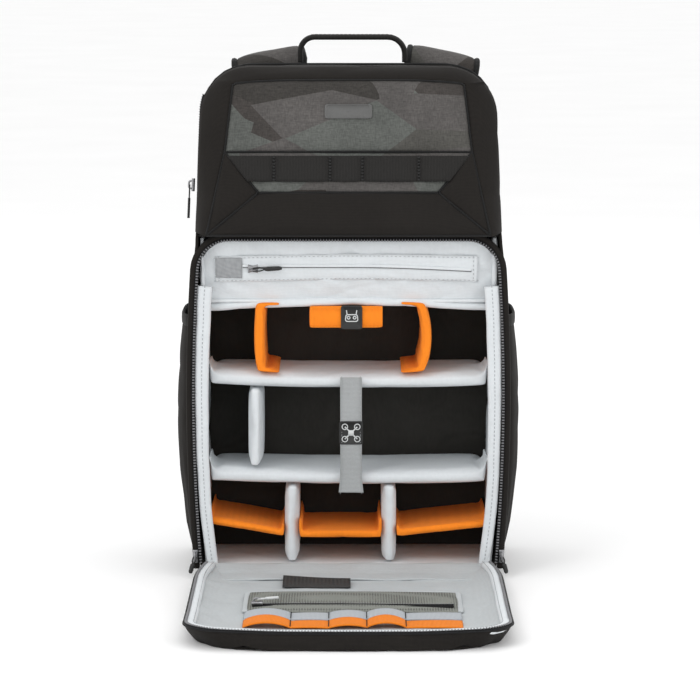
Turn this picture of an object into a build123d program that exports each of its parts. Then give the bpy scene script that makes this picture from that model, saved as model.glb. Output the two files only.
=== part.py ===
from build123d import *
from math import cos, radians, sin
import os

# Backpack case for a folding drone, standing upright with its front door lying open on the floor.
# X is to the right seen from the open front, Y points to the back panel, Z is up; millimetres.
# The origin is the middle of the base, on the floor. A dimension and the places derived from it
# are named where the piece is made; those shared by several pieces are named here.

# Outer shell
bag_height = 476
foot_half_width, foot_height = 138, 50
side_half_width, side_height = 142, 300
chest_half_width = 143
crown_half_width = 137
foot_radius, side_radius, waist_radius, crown_radius = 14, 200, 500, 46
shell_thickness = 4
rim_y = -75
shell_front_y = -69
shell_rear_y = 78
seam_gap = 0.3

# Main opening and its rim
rim_half_width = 141
rim_bottom_z, rim_top_z = 8, 320
rim_top_radius, rim_bottom_radius = 30, 12
zip_width = 4
binding_width = 6
zip_start_z = 14
binding_start_z = 20
floor_z = 11
opening_half_width = rim_half_width - zip_width - seam_gap - binding_width

# Liner
liner_thickness = 5.7
liner_rear_y = 35
rear_wall_thickness = 4
liner_outset = shell_thickness + seam_gap
liner_inset = liner_outset + liner_thickness

# Faceted upper front: (height, front y, ridge y, side y, front half width, ridge half width)
upper_base_z = 322
upper_sections = [
    (upper_base_z, -89, -88, -70, 112, 131),
    (361, -73, -70, -58, 85, 123),
    (399, -64, -61, -52, 98, 115),
    (460, -50, -48, -35, 92, 107),
    (bag_height, -44, -42, -30, 88, 100),
]
upper_split_y = -30
top_split_z = 462

# Door, lying open
hinge_y, hinge_z = -76, 17
door_length = 302
door_start = 8
door_half_width = 141
door_corner_radius = 30
door_panel_thickness = 5
door_liner_thickness = 2.5
door_rim_z = 16.7
door_zip_z = 12

# Dividers
divider_front_y = -66
shelf_thickness = 13
upper_shelf_z, lower_shelf_z = 179, 87.5
bay_divider_thickness = 13
lower_divider_xs = (-53, 38)
middle_divider_x = -87
running_gap = 0.3
divider_rear_y = liner_rear_y - running_gap
soft_edge = 5


def body_outline(inset):
    """Front outline of the bag, standing on z = 0, drawn in from its edge by inset."""
    points = [
        (-foot_half_width, 0), (foot_half_width, 0), (side_half_width, foot_height),
        (chest_half_width, side_height), (crown_half_width, bag_height),
        (-crown_half_width, bag_height), (-chest_half_width, side_height),
        (-side_half_width, foot_height),
    ]
    radii = [foot_radius, foot_radius, side_radius, waist_radius, crown_radius,
             crown_radius, waist_radius, side_radius]
    with BuildSketch() as outline:
        with BuildLine():
            FilletPolyline(*points, radius=radii, close=True)
        make_face()
        if inset:
            offset(amount=-inset)
    return outline.sketch


def rim_outline(inset):
    """Outline of the zip line round the main opening."""
    left, right = -rim_half_width, rim_half_width
    points = [(left, rim_bottom_z), (right, rim_bottom_z), (right, rim_top_z), (left, rim_top_z)]
    radii = [rim_bottom_radius, rim_bottom_radius, rim_top_radius, rim_top_radius]
    with BuildSketch() as outline:
        with BuildLine():
            FilletPolyline(*points, radius=radii, close=True)
        make_face()
        if inset:
            offset(amount=-inset)
    return outline.sketch


def door_outline(inset, start):
    """Outline of the open door on the floor, from start in front of the hinge to its near edge."""
    near, far = hinge_y - door_length + inset, hinge_y - start
    half = door_half_width - inset
    radius = door_corner_radius - inset
    with BuildSketch() as outline:
        with BuildLine():
            FilletPolyline((-half, far), (-half, near), (half, near), (half, far),
                           radius=[radius, radius])
            Line((half, far), (-half, far))
        make_face()
    return outline.sketch


def ring(outline, outer_inset, inner_inset, front_y, rear_y):
    """A wall between two insets of an outline, running along Y."""
    with BuildPart() as wall:
        with BuildSketch(Plane.XZ.offset(-rear_y)):
            add(outline(outer_inset))
            add(outline(inner_inset), mode=Mode.SUBTRACT)
        extrude(amount=rear_y - front_y)
    return wall.part


def slab(outline, inset, front_y, rear_y):
    """The filled outline, running along Y."""
    with BuildPart() as body:
        with BuildSketch(Plane.XZ.offset(-rear_y)):
            add(outline(inset))
        extrude(amount=rear_y - front_y)
    return body.part


def region(low, high):
    """A block from one corner to the opposite one, used to keep one piece of a wall."""
    size = [top - bottom for bottom, top in zip(low, high)]
    middle = [(top + bottom) / 2 for bottom, top in zip(low, high)]
    return Pos(*middle) * Box(*size, mode=Mode.PRIVATE)


def upper_solid(inset):
    """The upper section: the bag's outline cut by the faceted front, drawn in by inset."""
    with BuildPart() as facets:
        for height, front, ridge, side, half, ridge_half in upper_sections:
            with BuildSketch(Plane.XY.offset(min(height, bag_height - inset))):
                outer = chest_half_width + shell_thickness
                right = [(half, front + inset), (ridge_half, ridge + inset), (outer, side + inset)]
                left = [(-x, y) for x, y in reversed(right)]
                Polygon(*left, *right, (outer, shell_rear_y), (-outer, shell_rear_y), align=None)
        loft(ruled=True)
        add(slab(body_outline, inset, -100, shell_rear_y), mode=Mode.INTERSECT)
    return facets.part


def save(piece, node):
    """Label a finished piece and write it as its own file."""
    piece.label = node
    export_step(piece, f"parts/{node}.step")


os.makedirs("parts", exist_ok=True)
far_out = 400

# ---------------------------------------------------------------- outer shell
shell_wall = ring(body_outline, 0, shell_thickness, shell_front_y, shell_rear_y)
lip_half_width, lip_top_z = 126, floor_z
wall_start_z = 12

with BuildPart() as base_panel:
    add(shell_wall)
    add(region((-far_out, -far_out, -1), (far_out, far_out, wall_start_z)), mode=Mode.INTERSECT)
    add(region((-lip_half_width, rim_y, 0), (lip_half_width, shell_front_y, lip_top_z)))
save(base_panel.part, "base_panel")

upper_shell = upper_solid(0) - upper_solid(shell_thickness)

with BuildPart() as upper_front_panel:
    add(upper_shell)
    add(region((-far_out, -far_out, 0), (far_out, upper_split_y, top_split_z)), mode=Mode.INTERSECT)
save(upper_front_panel.part, "upper_front_panel")

lower_side_wall = shell_wall & region((-far_out, -far_out, wall_start_z),
                                      (far_out, far_out, upper_base_z))
upper_side_wall = upper_shell & region((-far_out, upper_split_y, 0), (far_out, far_out, top_split_z))
for side, name in ((-1, "side_panel_left"), (1, "side_panel_right")):
    with BuildPart() as side_panel:
        add(lower_side_wall)
        add(upper_side_wall)
        low_x, high_x = sorted((0, side * far_out))
        add(region((low_x, -far_out, 0), (high_x, far_out, bag_height)), mode=Mode.INTERSECT)
    save(side_panel.part, name)

with BuildPart() as top_panel:
    add(upper_shell)
    add(region((-far_out, -far_out, top_split_z), (far_out, far_out, far_out + bag_height)),
        mode=Mode.INTERSECT)
save(top_panel.part, "top_panel")

back_board_thickness = 6
with BuildPart() as back_board:
    add(slab(body_outline, liner_outset, shell_rear_y - back_board_thickness, shell_rear_y))
save(back_board.part, "back_board")

# Back pads: two tall shoulder pads and a lumbar pad with a spine channel between them
pad_depth = 14
pad_edge, pad_corner_radius = 6, 16
shoulder_pad_size, waist_pad_size, lumbar_pad_size = (74, 150), (84, 80), (154, 80)
pad_x_offset = 62
pad_places = [(side * pad_x_offset, z, size) for side in (-1, 1)
              for z, size in ((300, shoulder_pad_size), (165, waist_pad_size))]
pad_places.append((0, 65, lumbar_pad_size))
with BuildPart() as back_pads:
    for pad_x, pad_z, pad_size in pad_places:
        with BuildSketch(Plane.XZ.offset(-shell_rear_y)):
            with Locations((pad_x, pad_z)):
                RectangleRounded(*pad_size, pad_corner_radius)
    extrude(amount=-pad_depth)
    fillet(back_pads.faces().group_by(Axis.Y)[-1].edges(), pad_edge)
save(back_pads.part, "back_pads")

# ---------------------------------------------------------------- liner
with BuildPart() as liner_floor:
    add(slab(body_outline, liner_outset, shell_front_y, liner_rear_y))
    add(region((-far_out, -far_out, 0), (far_out, far_out, floor_z)), mode=Mode.INTERSECT)
save(liner_floor.part, "liner_floor")

liner_top_z = 320
liner_wall = ring(body_outline, liner_outset, liner_inset, shell_front_y, liner_rear_y)
for side, name in ((-1, "liner_left"), (1, "liner_right")):
    with BuildPart() as liner_side:
        add(liner_wall)
        low_x, high_x = sorted((0, side * far_out))
        add(region((low_x, -far_out, floor_z), (high_x, far_out, liner_top_z)), mode=Mode.INTERSECT)
    save(liner_side.part, name)

rear_wall_top_z = 455
with BuildPart() as liner_rear_wall:
    add(slab(body_outline, liner_outset, liner_rear_y, liner_rear_y + rear_wall_thickness))
    add(region((-far_out, 0, 0), (far_out, far_out, rear_wall_top_z)), mode=Mode.INTERSECT)
save(liner_rear_wall.part, "liner_rear_wall")

# Sloped front wall of the top compartment and the floor behind it
top_liner_half_width = 132
slope_top_y, slope_foot_y = shell_front_y, -56
top_floor_z, top_floor_thickness = 258, 6
sloped_wall_thickness = 6
slope_top_z = liner_top_z - 2
with BuildPart() as top_liner_panel:
    with BuildSketch(Plane.YZ.offset(-top_liner_half_width)):
        Polygon((slope_top_y, slope_top_z), (slope_foot_y, top_floor_z),
                (liner_rear_y, top_floor_z), (liner_rear_y, top_floor_z + top_floor_thickness),
                (slope_foot_y + sloped_wall_thickness, top_floor_z + top_floor_thickness),
                (slope_top_y + sloped_wall_thickness, slope_top_z), align=None)
    extrude(amount=2 * top_liner_half_width)
save(top_liner_panel.part, "top_liner_panel")

# Plane lying on the sloped wall: x to the right, y up the slope, z out of the wall
slope_rise = slope_top_z - top_floor_z
slope_run = slope_foot_y - slope_top_y
slope_length = (slope_rise ** 2 + slope_run ** 2) ** 0.5
slope_plane = Plane(origin=(0, slope_foot_y, top_floor_z), x_dir=(1, 0, 0),
                    z_dir=(0, -slope_rise / slope_length, -slope_run / slope_length))


def on_slope(x, height, width, tall, start, thick):
    """A flat block lying on the sloped wall, start out from its surface."""
    with BuildPart() as block:
        with BuildSketch(slope_plane.offset(start)):
            with Locations((x, height)):
                Rectangle(width, tall)
        extrude(amount=thick)
    return block.part


pocket_height, pocket_width, pocket_x, pocket_rise = 26, 244, -2, 34
pocket_thickness = 1.6
zip_tape_left, zip_tape_right = -98, 114
zip_tape_width = 5
coil_thickness = 1.2
zip_tape_x = (zip_tape_left + zip_tape_right) / 2
zip_tape_length = zip_tape_right - zip_tape_left

save(on_slope(pocket_x, pocket_rise, pocket_width, pocket_height, 0, pocket_thickness), "liner_pocket")
save(on_slope(zip_tape_x, pocket_rise, zip_tape_length, zip_tape_width, pocket_thickness,
              coil_thickness), "liner_pocket_zip")

patch_width, patch_height, patch_thickness, patch_x = 25, 20, 0.8, -111
save(on_slope(patch_x, pocket_rise, patch_width, patch_height, pocket_thickness,
              patch_thickness), "liner_pocket_patch")

small_slider_length, small_slider_width, small_slider_thickness = 11, 7, 2.2
small_pull_length, small_pull_width, small_pull_thickness = 24, 4, 1.6
slider_start = pocket_thickness + coil_thickness + seam_gap
slider_inset, pull_lap = 4, 1
slider_x = zip_tape_left + small_slider_length / 2 + slider_inset
pull_x = slider_x + small_slider_length / 2 + small_pull_length / 2 - pull_lap
with BuildPart() as liner_pocket_slider:
    add(on_slope(slider_x, pocket_rise, small_slider_length, small_slider_width, slider_start,
                 small_slider_thickness))
    add(on_slope(pull_x, pocket_rise, small_pull_length, small_pull_width, slider_start,
                 small_pull_thickness))
save(liner_pocket_slider.part, "liner_pocket_slider")

# ---------------------------------------------------------------- rim and main zip, bag side
with BuildPart() as main_zip_body:
    add(ring(rim_outline, 0, zip_width, rim_y, shell_front_y))
    add(region((-far_out, -far_out, zip_start_z), (far_out, far_out, far_out)), mode=Mode.INTERSECT)
save(main_zip_body.part, "main_zip_body")

with BuildPart() as rim_binding:
    add(ring(rim_outline, zip_width + seam_gap, zip_width + seam_gap + binding_width, rim_y,
             shell_front_y))
    add(region((-far_out, -far_out, binding_start_z), (far_out, far_out, far_out)),
        mode=Mode.INTERSECT)
save(rim_binding.part, "rim_binding")

# Main zip sliders, parked at the bottom corners, each with a hanging pull
slider_height, slider_width, slider_depth = 13, 5, 9
slider_rest_z = 20
pull_height, pull_thickness, pull_depth = 13, 3, 7
pull_overlap = 3
pull_foot_thickness = 5
for side, name in ((-1, "main_slider_left"), (1, "main_slider_right")):
    slider_x_middle = side * (rim_half_width + seam_gap + slider_width / 2)
    with BuildPart() as main_slider:
        with Locations((slider_x_middle, rim_y, slider_rest_z)):
            Box(slider_width, slider_depth, slider_height)
        with BuildSketch(Plane.XZ.offset(-rim_y + slider_depth / 2 - 1)):
            outer_x = slider_x_middle + side * slider_width / 2
            hang_z = slider_rest_z - slider_height / 2 + pull_overlap
            foot_x = outer_x + side * pull_foot_thickness
            Polygon((outer_x, hang_z), (outer_x - side * pull_thickness, hang_z),
                    (foot_x - side * pull_foot_thickness, hang_z - pull_height),
                    (foot_x, hang_z - pull_height), align=None)
        extrude(amount=pull_depth)
    save(main_slider.part, name)

# ---------------------------------------------------------------- dividers
shelf_half_width = 131.5
tab_height, tab_thickness, tab_length = 13, 3, 60
tab_y = -37


def shelf(bottom_z):
    """A full-width padded shelf with a rounded front edge and an upturned tab at each end."""
    with BuildPart() as board:
        with Locations((0, (divider_front_y + divider_rear_y) / 2, bottom_z + shelf_thickness / 2)):
            Box(2 * shelf_half_width, divider_rear_y - divider_front_y, shelf_thickness)
        fillet(board.faces().sort_by(Axis.Y)[0].edges().filter_by(Axis.X), soft_edge)
        for side in (-1, 1):
            with Locations((side * (shelf_half_width - tab_thickness / 2), tab_y,
                            bottom_z + shelf_thickness + tab_height / 2)):
                Box(tab_thickness, tab_length, tab_height)
    return board.part


save(shelf(upper_shelf_z), "shelf_upper")
save(shelf(lower_shelf_z), "shelf_lower")
lower_shelf_top_z = lower_shelf_z + shelf_thickness
upper_shelf_top_z = upper_shelf_z + shelf_thickness


def upright(x, thickness, bottom_z, top_z):
    """A padded upright divider with a rounded front edge."""
    with BuildPart() as board:
        with Locations((x, (divider_front_y + divider_rear_y) / 2, (bottom_z + top_z) / 2)):
            Box(thickness, divider_rear_y - divider_front_y, top_z - bottom_z)
        fillet(board.faces().sort_by(Axis.Y)[0].edges().filter_by(Axis.Z), thickness / 2 - 1)
    return board.part


lower_bay_bottom_z = floor_z + 2 * running_gap
lower_bay_top_z = lower_shelf_z - running_gap
for divider_x, name in zip(lower_divider_xs, ("lower_divider_left", "lower_divider_right")):
    save(upright(divider_x, bay_divider_thickness, lower_bay_bottom_z, lower_bay_top_z), name)
save(upright(middle_divider_x, bay_divider_thickness, lower_shelf_top_z + running_gap,
             upper_shelf_z - running_gap), "middle_divider")

# Orange controller dividers: bowed walls with a tab folded inward at top and bottom
controller_divider_thickness = 8
controller_tab_length, controller_tab_thickness, controller_tab_lap = 16, 3, 1
controller_bottom_z = upper_shelf_top_z + running_gap
controller_top_z = top_floor_z - running_gap
for side, foot_x, bow, name in ((-1, -77, 2, "controller_divider_left"),
                                (1, 62, 7, "controller_divider_right")):
    with BuildPart() as controller_divider:
        with BuildSketch(Plane.XZ.offset(-divider_rear_y)):
            mid_z = (controller_bottom_z + controller_top_z) / 2
            inner, outer = foot_x, foot_x + side * controller_divider_thickness
            with BuildLine():
                ThreePointArc((inner, controller_bottom_z), (inner + side * bow, mid_z),
                              (inner, controller_top_z))
                Line((inner, controller_top_z), (outer, controller_top_z))
                ThreePointArc((outer, controller_top_z), (outer + side * bow, mid_z),
                              (outer, controller_bottom_z))
                Line((outer, controller_bottom_z), (inner, controller_bottom_z))
            make_face()
            tab_x = inner - side * (controller_tab_length / 2 - controller_tab_lap)
            with Locations((tab_x, controller_bottom_z + controller_tab_thickness / 2),
                           (tab_x, controller_top_z - controller_tab_thickness / 2)):
                Rectangle(controller_tab_length, controller_tab_thickness)
        extrude(amount=divider_rear_y - divider_front_y)
    save(controller_divider.part, name)

# Orange dividers of the lower bays: thin boards with upturned tabs, sagging between the uprights
insert_thickness = 5.5
insert_tab_thickness = 2.5
insert_clearance = 0.5
left_face = lower_divider_xs[0] - bay_divider_thickness / 2 - insert_clearance
middle_left = lower_divider_xs[0] + bay_divider_thickness / 2 + insert_clearance
middle_right = lower_divider_xs[1] - bay_divider_thickness / 2 - insert_clearance
right_face = lower_divider_xs[1] + bay_divider_thickness / 2 + insert_clearance
insert_end = 130
insert_places = [
    ("battery_divider_left", -insert_end, 49, left_face, 37, 12),
    ("battery_divider_middle", middle_left, 36, middle_right, 36, 18),
    ("battery_divider_right", right_face, 37, insert_end, 46, 10),
]
for name, left_x, left_z, right_x, right_z, tab in insert_places:
    with BuildPart() as battery_divider:
        with BuildSketch(Plane.XZ.offset(-divider_rear_y)):
            Polygon((left_x, left_z + tab), (left_x, left_z), (right_x, right_z),
                    (right_x, right_z + tab), (right_x - insert_tab_thickness, right_z + tab),
                    (right_x - insert_tab_thickness, right_z + insert_thickness),
                    (left_x + insert_tab_thickness, left_z + insert_thickness),
                    (left_x + insert_tab_thickness, left_z + tab), align=None)
        extrude(amount=divider_rear_y - divider_front_y)
    save(battery_divider.part, name)

# Grey strap over the drone bay, hanging from the upper shelf, with its badge
strap_x, strap_width, strap_thickness = 2.5, 20, 1.8
strap_top_z, strap_foot_z = 188, 79
strap_stand_off = 2.4
strap_y = divider_front_y - strap_stand_off
badge_side, badge_thickness, badge_z = 22, 1.6, 136
with BuildPart() as drone_strap:
    with Locations((strap_x, strap_y, (strap_top_z + strap_foot_z) / 2)):
        Box(strap_width, strap_thickness, strap_top_z - strap_foot_z)
save(drone_strap.part, "drone_strap")

with BuildPart() as drone_strap_badge:
    with Locations((strap_x, strap_y - strap_thickness / 2 - badge_thickness / 2, badge_z)):
        Box(badge_side, badge_thickness, badge_side)
save(drone_strap_badge.part, "drone_strap_badge")

# Orange flap that holds the remote controller, hanging from the foot of the sloped wall
flap_x, flap_width, flap_thickness = -2.5, 71, 8
flap_top_z, flap_foot_z = 256, 232
flap_y = -62
flap_edge = 3
flap_badge_x, flap_badge_width, flap_badge_height = 3, 20, 22
with BuildPart() as controller_flap:
    with Locations((flap_x, flap_y, (flap_top_z + flap_foot_z) / 2)):
        Box(flap_width, flap_thickness, flap_top_z - flap_foot_z)
    fillet(controller_flap.edges().filter_by(Axis.X), flap_edge)
save(controller_flap.part, "controller_flap")

with BuildPart() as controller_flap_badge:
    with Locations((flap_badge_x, flap_y - flap_thickness / 2 - badge_thickness / 2,
                    (flap_top_z + flap_foot_z) / 2)):
        Box(flap_badge_width, badge_thickness, flap_badge_height)
save(controller_flap_badge.part, "controller_flap_badge")

# ---------------------------------------------------------------- upper front details
webbing_bottom_z, webbing_top_z = 371, 396
webbing_thickness = 2.5
webbing_foot_half_width, webbing_top_half_width = 90, 106
face_low, face_high = upper_sections[1], upper_sections[3]
face_slope = (face_high[1] - face_low[1]) / (face_high[0] - face_low[0])
face_stand_off = 1.6
face_plane = Plane(origin=(0, face_low[1] - face_stand_off, face_low[0]), x_dir=(1, 0, 0),
                   z_dir=(0, -1, face_slope))
with BuildPart() as daisy_chain:
    with BuildSketch(face_plane):
        bottom, top = webbing_bottom_z - face_low[0], webbing_top_z - face_low[0]
        Polygon((-webbing_foot_half_width, bottom), (webbing_foot_half_width, bottom),
                (webbing_top_half_width, top), (-webbing_top_half_width, top), align=None)
    extrude(amount=webbing_thickness)
save(daisy_chain.part, "daisy_chain")

front_patch_z = 437
front_patch_width, front_patch_height, front_patch_radius = 44, 13, 2
front_patch_sink, front_patch_thickness = 0.6, 1.5
with BuildPart() as front_patch:
    with BuildSketch(face_plane.offset(-front_patch_sink)):
        with Locations((0, front_patch_z - face_low[0])):
            RectangleRounded(front_patch_width, front_patch_height, front_patch_radius)
    extrude(amount=front_patch_thickness)
save(front_patch.part, "front_patch")

# ---------------------------------------------------------------- side pockets and side zip
pocket_front_y, pocket_rear_y = -52, 56
pocket_wall = 2
pocket_foot_z, pocket_mouth_z = 16, 243
pocket_bulge = 14
pocket_mouth_depth, pocket_foot_depth = 7, 2.5
pocket_belly_z = (pocket_foot_z + pocket_mouth_z) / 2 + 8


def pocket_profile(side, inset):
    """Side pocket in front view: the bag's side on the inside, a bulging skin on the outside."""
    inner = chest_half_width + seam_gap
    foot, mouth = pocket_foot_z + inset, pocket_mouth_z + inset
    with BuildSketch() as profile:
        with BuildLine():
            Line((side * inner, foot), (side * inner, mouth))
            Line((side * inner, mouth), (side * (inner + pocket_mouth_depth - inset), mouth))
            ThreePointArc((side * (inner + pocket_mouth_depth - inset), mouth),
                          (side * (inner + pocket_bulge - inset), pocket_belly_z + inset),
                          (side * (inner + pocket_foot_depth), foot))
            Line((side * (inner + pocket_foot_depth), foot), (side * inner, foot))
        make_face()
    return profile.sketch


for side, name in ((-1, "side_pocket_left"), (1, "side_pocket_right")):
    with BuildPart() as side_pocket:
        with BuildSketch(Plane.XZ.offset(-pocket_rear_y)):
            add(pocket_profile(side, 0))
        extrude(amount=pocket_rear_y - pocket_front_y)
        with BuildSketch(Plane.XZ.offset(-pocket_rear_y + pocket_wall)):
            add(pocket_profile(side, pocket_wall))
        extrude(amount=pocket_rear_y - pocket_front_y - 2 * pocket_wall, mode=Mode.SUBTRACT)
    save(side_pocket.part, name)

side_zip_front_y, side_zip_rear_y = 20, 28
side_zip_bottom_z, side_zip_top_z = 262, 446
side_zip_thickness = 1.5
with BuildPart() as side_zip:
    add(ring(body_outline, -side_zip_thickness, -seam_gap / 3, side_zip_front_y, side_zip_rear_y))
    add(region((-far_out, 0, side_zip_bottom_z), (0, far_out, side_zip_top_z)), mode=Mode.INTERSECT)
save(side_zip.part, "side_zip")

# The side slider follows the straight stretch of the bag's flank, its pull hanging below it
side_slider_z, side_slider_size, side_slider_thickness = 360, (8, 12), 3
side_pull_size, side_pull_drop = (5, 32), 20
flank = Vector(-crown_half_width, 0, bag_height) - Vector(-chest_half_width, 0, side_height)
flank_rise = (side_slider_z - side_height) / (bag_height - side_height)
flank_point = Vector(-chest_half_width, 0, side_height) + flank * flank_rise
flank_plane = Plane(origin=flank_point, x_dir=(0, -1, 0), z_dir=(-flank.Z, 0, flank.X))
side_zip_middle_y = (side_zip_front_y + side_zip_rear_y) / 2
with BuildPart() as side_slider:
    with BuildSketch(flank_plane.offset(side_zip_thickness + seam_gap)):
        with Locations((-side_zip_middle_y, 0)):
            Rectangle(*side_slider_size)
        with Locations((-side_zip_middle_y, -side_pull_drop)):
            Rectangle(*side_pull_size)
    extrude(amount=side_slider_thickness)
save(side_slider.part, "side_slider")

# ---------------------------------------------------------------- carry handle
handle_left_x, handle_right_x = -49, 57
handle_top_z, handle_pivot_z = 502, 484
handle_thickness, handle_depth, handle_y = 5, 14, 58
handle_inner_radius = 10
handle_outer_radius = handle_inner_radius + handle_thickness
handle_base_z = handle_pivot_z - handle_depth / 2
with BuildPart() as top_handle:
    with BuildSketch(Plane.XZ.offset(-handle_y - handle_depth / 2)):
        with BuildLine():
            FilletPolyline((handle_left_x, handle_base_z), (handle_left_x, handle_top_z),
                           (handle_right_x, handle_top_z), (handle_right_x, handle_base_z),
                           radius=[handle_outer_radius, handle_outer_radius])
            Line((handle_right_x, handle_base_z), (handle_right_x - handle_thickness, handle_base_z))
            FilletPolyline((handle_right_x - handle_thickness, handle_base_z),
                           (handle_right_x - handle_thickness, handle_top_z - handle_thickness),
                           (handle_left_x + handle_thickness, handle_top_z - handle_thickness),
                           (handle_left_x + handle_thickness, handle_base_z),
                           radius=[handle_inner_radius, handle_inner_radius])
            Line((handle_left_x + handle_thickness, handle_base_z), (handle_left_x, handle_base_z))
        make_face()
    extrude(amount=handle_depth)
    # The sewn feet are round, so that the handle folds forward and back without touching the top
    foot_edges = top_handle.edges().filter_by(Axis.X).group_by(Axis.Z)[0]
    fillet(foot_edges, handle_depth / 2 - 0.1)
save(top_handle.part, "top_handle")

# ---------------------------------------------------------------- shoulder straps and sternum strap
strap_middle_x = 7
strap_pad_thickness = 11
strap_slant = 11.5
strap_pivot_x, strap_pivot_z = 89, 480
strap_route = [(85.5, 398), (85.5, 485.5), (113, 473.5), (116, 150)]
strap_route_radii = [12.9, 10]
# Half widths of each strap's inner and outer edge at their heights
strap_inner_edge = [(57, 500), (46, 468), (50, 420), (66, 300), (76, 172)]
strap_outer_edge = [(118, 172), (124, 300), (117, 430), (117, 455), (124.5, 500)]
strap_reach = 120
webbing_width, lower_webbing_thickness = 20, 2.4
lower_webbing_x = 96
lower_webbing_run = [(116, 168), (83, 26)]


def strap_section(line, width):
    """Side view of a strap: its line given a thickness."""
    with BuildSketch() as profile:
        with BuildLine():
            add(line)
        trace(line_width=width)
    return profile.sketch


with BuildLine() as strap_line:
    FilletPolyline(*[(y, z - strap_pivot_z) for y, z in strap_route], radius=strap_route_radii)
slant = radians(strap_slant)
for side, name in ((-1, "left"), (1, "right")):
    # Each strap leans outward, so its top slopes down towards the bag's side
    strap_plane = Plane(origin=(strap_middle_x + side * strap_pivot_x, 0, strap_pivot_z),
                        x_dir=(0, 1, 0), z_dir=(cos(slant), 0, -side * sin(slant)))
    with BuildPart() as shoulder_strap:
        with BuildSketch(strap_plane):
            add(strap_section(strap_line.line, strap_pad_thickness))
        extrude(amount=strap_reach, both=True)
        with BuildSketch(Plane.XZ.offset(-shell_rear_y)):
            Polygon(*[(strap_middle_x + side * x, z) for x, z in strap_inner_edge + strap_outer_edge],
                    align=None)
        extrude(amount=-(strap_route[3][0] + strap_pad_thickness - shell_rear_y), mode=Mode.INTERSECT)
    save(shoulder_strap.part, f"shoulder_strap_{name}")

with BuildLine() as lower_webbing_line:
    Polyline(*lower_webbing_run)
with BuildPart() as lower_webbings:
    for side in (-1, 1):
        middle_x = strap_middle_x + side * lower_webbing_x
        with BuildSketch(Plane.YZ.offset(middle_x - webbing_width / 2)):
            add(strap_section(lower_webbing_line.line, lower_webbing_thickness))
        extrude(amount=webbing_width)
save(lower_webbings.part, "lower_webbings")

sternum_z, sternum_height = 360, 20
sternum_stand_off, sternum_webbing_thickness = 1.6, 2
sternum_y = strap_route[3][0] + strap_pad_thickness / 2 + sternum_stand_off
sternum_half_span = 84
buckle_half_width, buckle_height, buckle_depth = 17, 25, 8
with BuildPart() as sternum_webbing:
    for side in (-1, 1):
        span = sternum_half_span - buckle_half_width
        with Locations((strap_middle_x + side * (buckle_half_width + span / 2), sternum_y, sternum_z)):
            Box(span, sternum_webbing_thickness, sternum_height)
save(sternum_webbing.part, "sternum_webbing")

prong_length, prong_width, prong_thickness = 11, 4, 3
prong_spread, prong_clearance = 7, 1
prong_x = strap_middle_x + prong_length / 2
with BuildPart() as sternum_buckle_male:
    with Locations((strap_middle_x - buckle_half_width / 2, sternum_y, sternum_z)):
        Box(buckle_half_width, buckle_depth, buckle_height)
    with Locations((prong_x, sternum_y, sternum_z - prong_spread),
                   (prong_x, sternum_y, sternum_z + prong_spread)):
        Box(prong_length, prong_thickness, prong_width)
save(sternum_buckle_male.part, "sternum_buckle_male")

with BuildPart() as sternum_buckle_female:
    with Locations((strap_middle_x + buckle_half_width / 2, sternum_y, sternum_z)):
        Box(buckle_half_width - seam_gap, buckle_depth, buckle_height)
    with Locations((prong_x, sternum_y, sternum_z)):
        Box(prong_length + prong_clearance, prong_thickness + prong_clearance,
            2 * prong_spread + prong_width + prong_clearance, mode=Mode.SUBTRACT)
save(sternum_buckle_female.part, "sternum_buckle_female")

# ---------------------------------------------------------------- door
door_zip_width, door_binding_width = 3, 6
door_wall_foot_inset = 9
door_wall_width = door_zip_width + door_binding_width
door_wall_foot, door_wall_rim = 3, 4
door_panel_inset = door_wall_foot_inset + 1
door_liner_inset = door_wall_foot_inset + 5


def door_ring(outer_inset, inner_inset, bottom_z, top_z, start):
    """A level U-shaped band round the door, open on the hinge side."""
    with BuildPart() as band:
        with BuildSketch(Plane.XY.offset(bottom_z)):
            add(door_outline(outer_inset, start))
            add(door_outline(inner_inset, start - 1), mode=Mode.SUBTRACT)
        extrude(amount=top_z - bottom_z)
    return band.part


with BuildPart() as door_panel:
    with BuildSketch(Plane.XY):
        add(door_outline(door_panel_inset, door_start))
    extrude(amount=door_panel_thickness)
save(door_panel.part, "door_panel")

with BuildPart() as door_wall:
    with BuildSketch(Plane.XY.offset(door_panel_thickness)):
        add(door_outline(door_wall_foot_inset, door_start))
    with BuildSketch(Plane.XY.offset(door_zip_z)):
        add(door_outline(0, door_start))
    loft()
    with BuildSketch(Plane.XY.offset(door_panel_thickness)):
        add(door_outline(door_wall_foot_inset + door_wall_foot, door_start - 1))
    with BuildSketch(Plane.XY.offset(door_zip_z)):
        add(door_outline(door_wall_rim, door_start - 1))
    loft(mode=Mode.SUBTRACT)
save(door_wall.part, "door_wall")

with BuildPart() as main_zip_door:
    add(door_ring(0, door_zip_width, door_zip_z, door_rim_z, door_start))
save(main_zip_door.part, "main_zip_door")

with BuildPart() as door_binding:
    add(door_ring(door_zip_width, door_wall_width, door_zip_z, door_rim_z, door_start))
save(door_binding.part, "door_binding")

with BuildPart() as door_liner:
    with BuildSketch(Plane.XY.offset(door_panel_thickness)):
        add(door_outline(door_liner_inset, door_start))
    extrude(amount=door_liner_thickness)
save(door_liner.part, "door_liner")

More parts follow.
